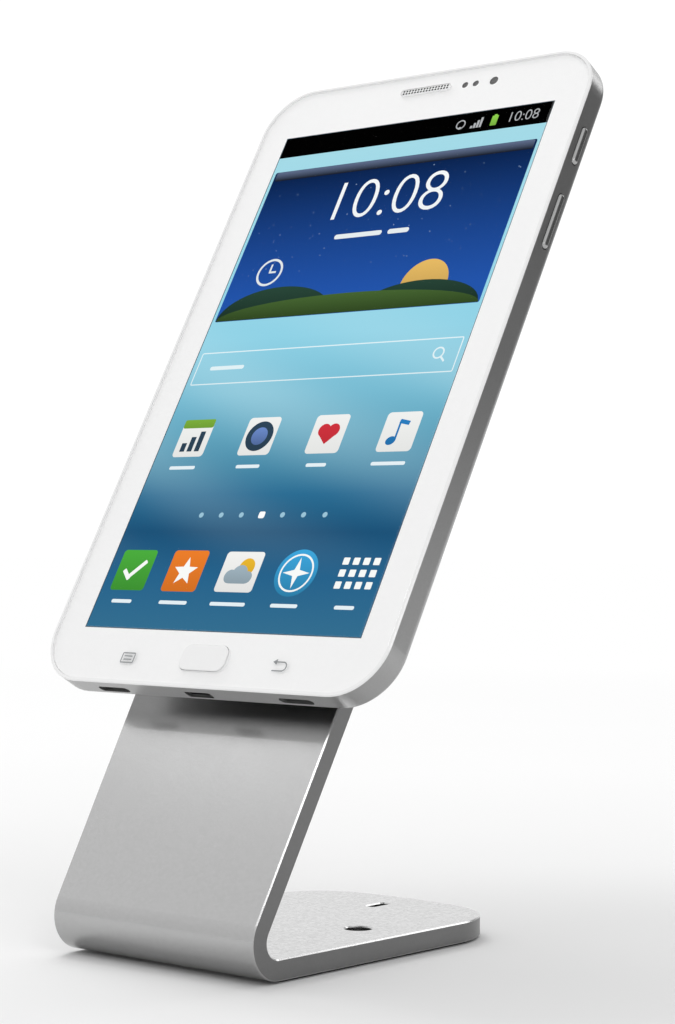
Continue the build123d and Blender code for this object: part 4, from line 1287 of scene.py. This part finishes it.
@dataclass
class BorderMarks:
    """The two printed signs beside the home button, at their places on the face in millimetres."""

    menu: Point = (-25.2, -85.5)
    back: Point = (24.4, -85.7)
    line: float = 0.32
    ink: PlasticFinish = PlasticFinish("sign_ink", srgb("8f9294"), 0.5, 0.08, 1200.0, 0.02)

    def build(self) -> int:
        """Draws both signs on the glass as one piece.

        Returns:
            How many pieces they make.
        """
        x, y = self.menu
        rows = [Bar((x, y + height), 2.7, self.line) for height in (0.45, -0.45)]
        menu_sign = [Bar(self.menu, 4.5, 2.9, 0.4, self.line), *rows]
        x, y = self.back
        back_sign = [
            Bar((x, y + 1.14), 2.4, self.line),
            Disc((x + 1.1, y), 1.3, 40, line=self.line, half=Half.RIGHT),
            Bar((x - 0.3, y - 1.14), 3.0, self.line),
            Disc((x - 1.4, y + 1.14), 0.85, 3, turn=90),
        ]
        piece = lay("border_signs", menu_sign + back_sign, self.ink.build(), -SHEET_THICKNESS)
        return 1


@dataclass(frozen=True)
class SkyPatch:
    """A soft area of the studio's surroundings with its own brightness.

    Attributes:
        core: Angle out to which it has its full level, in degrees.
        rim: Angle at which it has faded out, in degrees.
        level: Its brightness, where 1 is white.
    """

    direction: Place
    core: float
    rim: float
    level: float


@dataclass(frozen=True)
class Lamp:
    """An oval area lamp with its power in watts, turned to the point that it faces."""

    name: str
    place: Place
    aim: Place
    size: Point
    power: float

    def hang(self) -> None:
        """Adds the lamp, turned to the point that it faces."""
        bpy.ops.object.select_all(action="DESELECT")
        bpy.ops.object.light_add(type="AREA", location=self.place)
        light = bpy.context.object
        light.name = self.name
        light.data.shape = "ELLIPSE"
        light.data.size, light.data.size_y = self.size
        light.data.energy = self.power
        direction = Vector(self.aim) - Vector(self.place)
        light.rotation_euler = direction.to_track_quat("-Z", "Y").to_euler()


@dataclass
class Studio:
    """A pale floor, soft surroundings, four lamps and the camera.

    Attributes:
        lights: A large soft lamp, a strip for the neck and two that catch the plate's broken edges.
        yaw: How far the camera is turned to the right of straight ahead, in degrees.
        pitch: How far it looks up.
        roll: How far it is tipped over.
        focal_pixels: Focal length in pixels of the photograph.
        long_side: The photograph's height in pixels.
        sensor_width: Width of the camera's sensor in millimetres.
        floor_fade: Where the floor starts to fade into the surroundings and where it has.
        floor_tones: Darkest and lightest level of the floor.
        painted_shadow_tone: Level of the floor at the middle of the painted shadow beside the stand.
        painted_shadow_fade: Radius out to which the painted shadow is full and where the floor has its plain tone.
    """

    sky_level: float = 0.975
    patches: tuple[SkyPatch, ...] = (
        SkyPatch((0.65, 0.757, 0.08), 26, 64, 0.12),
        SkyPatch((-0.65, 0.74, 0.2), 10, 34, 1.12),
        SkyPatch((0.0, -1.0, 0.25), 30, 75, 0.8),
    )
    lights: tuple[Lamp, ...] = (
        Lamp("soft_lamp", (-0.8, 0.42, 1.28), (0.0, 0.0, 0.1), (0.9, 0.9), 6.9),
        Lamp("neck_lamp", (-0.23, -0.189, 0.254), (-0.23, 0.0, 0.1), (0.18, 0.01), 0.0072),
        Lamp("front_edge_lamp", (0.66, -0.4, 0.58), (0.03, -0.03, 0.05), (0.2, 0.2), 0.56),
        Lamp("rear_edge_lamp", (0.19, 0.82, 0.6), (0.03, 0.05, 0.0), (0.3, 0.3), 0.55),
    )
    camera_place: Place = (0.377177, -0.432061, 0.100953)
    yaw: float = -40.202
    pitch: float = 0.638
    roll: float = 0.302
    focal_pixels: float = 2293.774
    long_side: int = 1024
    sensor_width: float = 36.0
    near_clip: float = 0.01
    floor_size: float = 16.0
    floor_fade: Point = (0.35, 1.3)
    floor_tones: Point = (0.83, 0.87)
    floor_mottles: float = 3.0
    painted_shadow_tone: float = 0.765
    painted_shadow_middle: Place = (0.08, 0.06, 0.0)
    painted_shadow_fade: Point = (0.03, 0.16)

    def build(self) -> None:
        """Builds camera, surroundings, floor and lamps."""
        self.camera()
        self.surroundings()
        self.floor()
        for lamp in self.lights:
            lamp.hang()

    def camera(self) -> None:
        """Sets the camera at the photograph's viewing angle."""
        yaw, pitch, roll = (math.radians(angle) for angle in (self.yaw, self.pitch, self.roll))
        forward = Vector((math.sin(yaw) * math.cos(pitch), math.cos(yaw) * math.cos(pitch), math.sin(pitch)))
        level = Vector((math.cos(yaw), -math.sin(yaw), 0))
        above = level.cross(forward)
        across = level * math.cos(roll) + above * math.sin(roll)
        upward = above * math.cos(roll) - level * math.sin(roll)
        data = bpy.data.cameras.new("view")
        data.sensor_width = self.sensor_width
        data.lens = data.sensor_width * self.focal_pixels / self.long_side
        data.clip_start = self.near_clip
        viewer = bpy.data.objects.new("view", data)
        turned = Matrix((across, upward, -forward)).transposed().to_4x4()
        viewer.matrix_world = Matrix.Translation(self.camera_place) @ turned
        bpy.context.scene.collection.objects.link(viewer)
        bpy.context.scene.camera = viewer
        bpy.context.scene.view_settings.view_transform = "Standard"

    def surroundings(self) -> None:
        """Sets the world, one pattern for every kind of ray."""
        world = bpy.data.worlds.new("studio")
        world.use_nodes = True
        graph = NodeGraph(world.node_tree)
        strength: object = 1.0
        for patch in self.patches:
            direction = Vector(patch.direction).normalized()
            facing = graph.vector("DOT_PRODUCT", graph.coordinates["Generated"], direction)
            rim, core = (math.cos(math.radians(angle)) for angle in (patch.rim, patch.core))
            level = graph.span(facing, rim, core, 1.0, patch.level, "SMOOTHSTEP")
            strength = graph.math("MULTIPLY", strength, level)
        background = graph.add("Background", {"Color": grey(self.sky_level), "Strength": strength})
        graph.add("OutputWorld", {"Surface": background.outputs["Background"]})
        bpy.context.scene.world = world

    def floor(self) -> None:
        """Lays a pale floor that fades into the white surroundings, with a painted shadow beside the stand."""
        bpy.ops.object.select_all(action="DESELECT")
        bpy.ops.mesh.primitive_plane_add(size=self.floor_size)
        ground = bpy.context.object
        ground.name = "floor"
        shader = Shader("pale_floor")
        away = shader.vector("LENGTH", shader.place)
        fade = shader.span(away, *self.floor_fade, easing="SMOOTHSTEP")
        rays = shader.add("LightPath").outputs
        seen = shader.math("MAXIMUM", rays["Is Camera Ray"], rays["Is Glossy Ray"])
        seen = shader.math("MAXIMUM", seen, rays["Is Transmission Ray"])
        # painted shadow: the floor is darker round painted_shadow_middle, beside the stand, where its shadow falls
        offset = shader.vector("DISTANCE", shader.place, self.painted_shadow_middle)
        plain = shader.span(offset, *self.painted_shadow_fade, easing="SMOOTHSTEP")
        darkest, lightest = (grey(tone) for tone in self.floor_tones)
        mottle = shader.mix(shader.noise(self.floor_mottles), darkest, lightest)
        tone = shader.mix(plain, grey(self.painted_shadow_tone), mottle)
        matt = shader.add("BsdfDiffuse", {"Color": tone}).outputs["BSDF"]
        surface = shader.blend(shader.math("MULTIPLY", fade, seen), matt, shader.glow(WHITE))
        ground.data.materials.append(shader.finish(surface))


def main() -> None:
    """Builds the studio, dresses the stand and draws the picture, in this order."""
    logging.basicConfig(level=logging.INFO, format="%(name)s: %(message)s")
    Studio().build()
    for part in (Stand(), Mounting(), TabletShell(), Front(), Internals(), DisplayPicture(), BorderMarks()):
        log.info("%s: %d pieces", type(part).__name__, part.build())


if __name__ == "__main__":
    main()
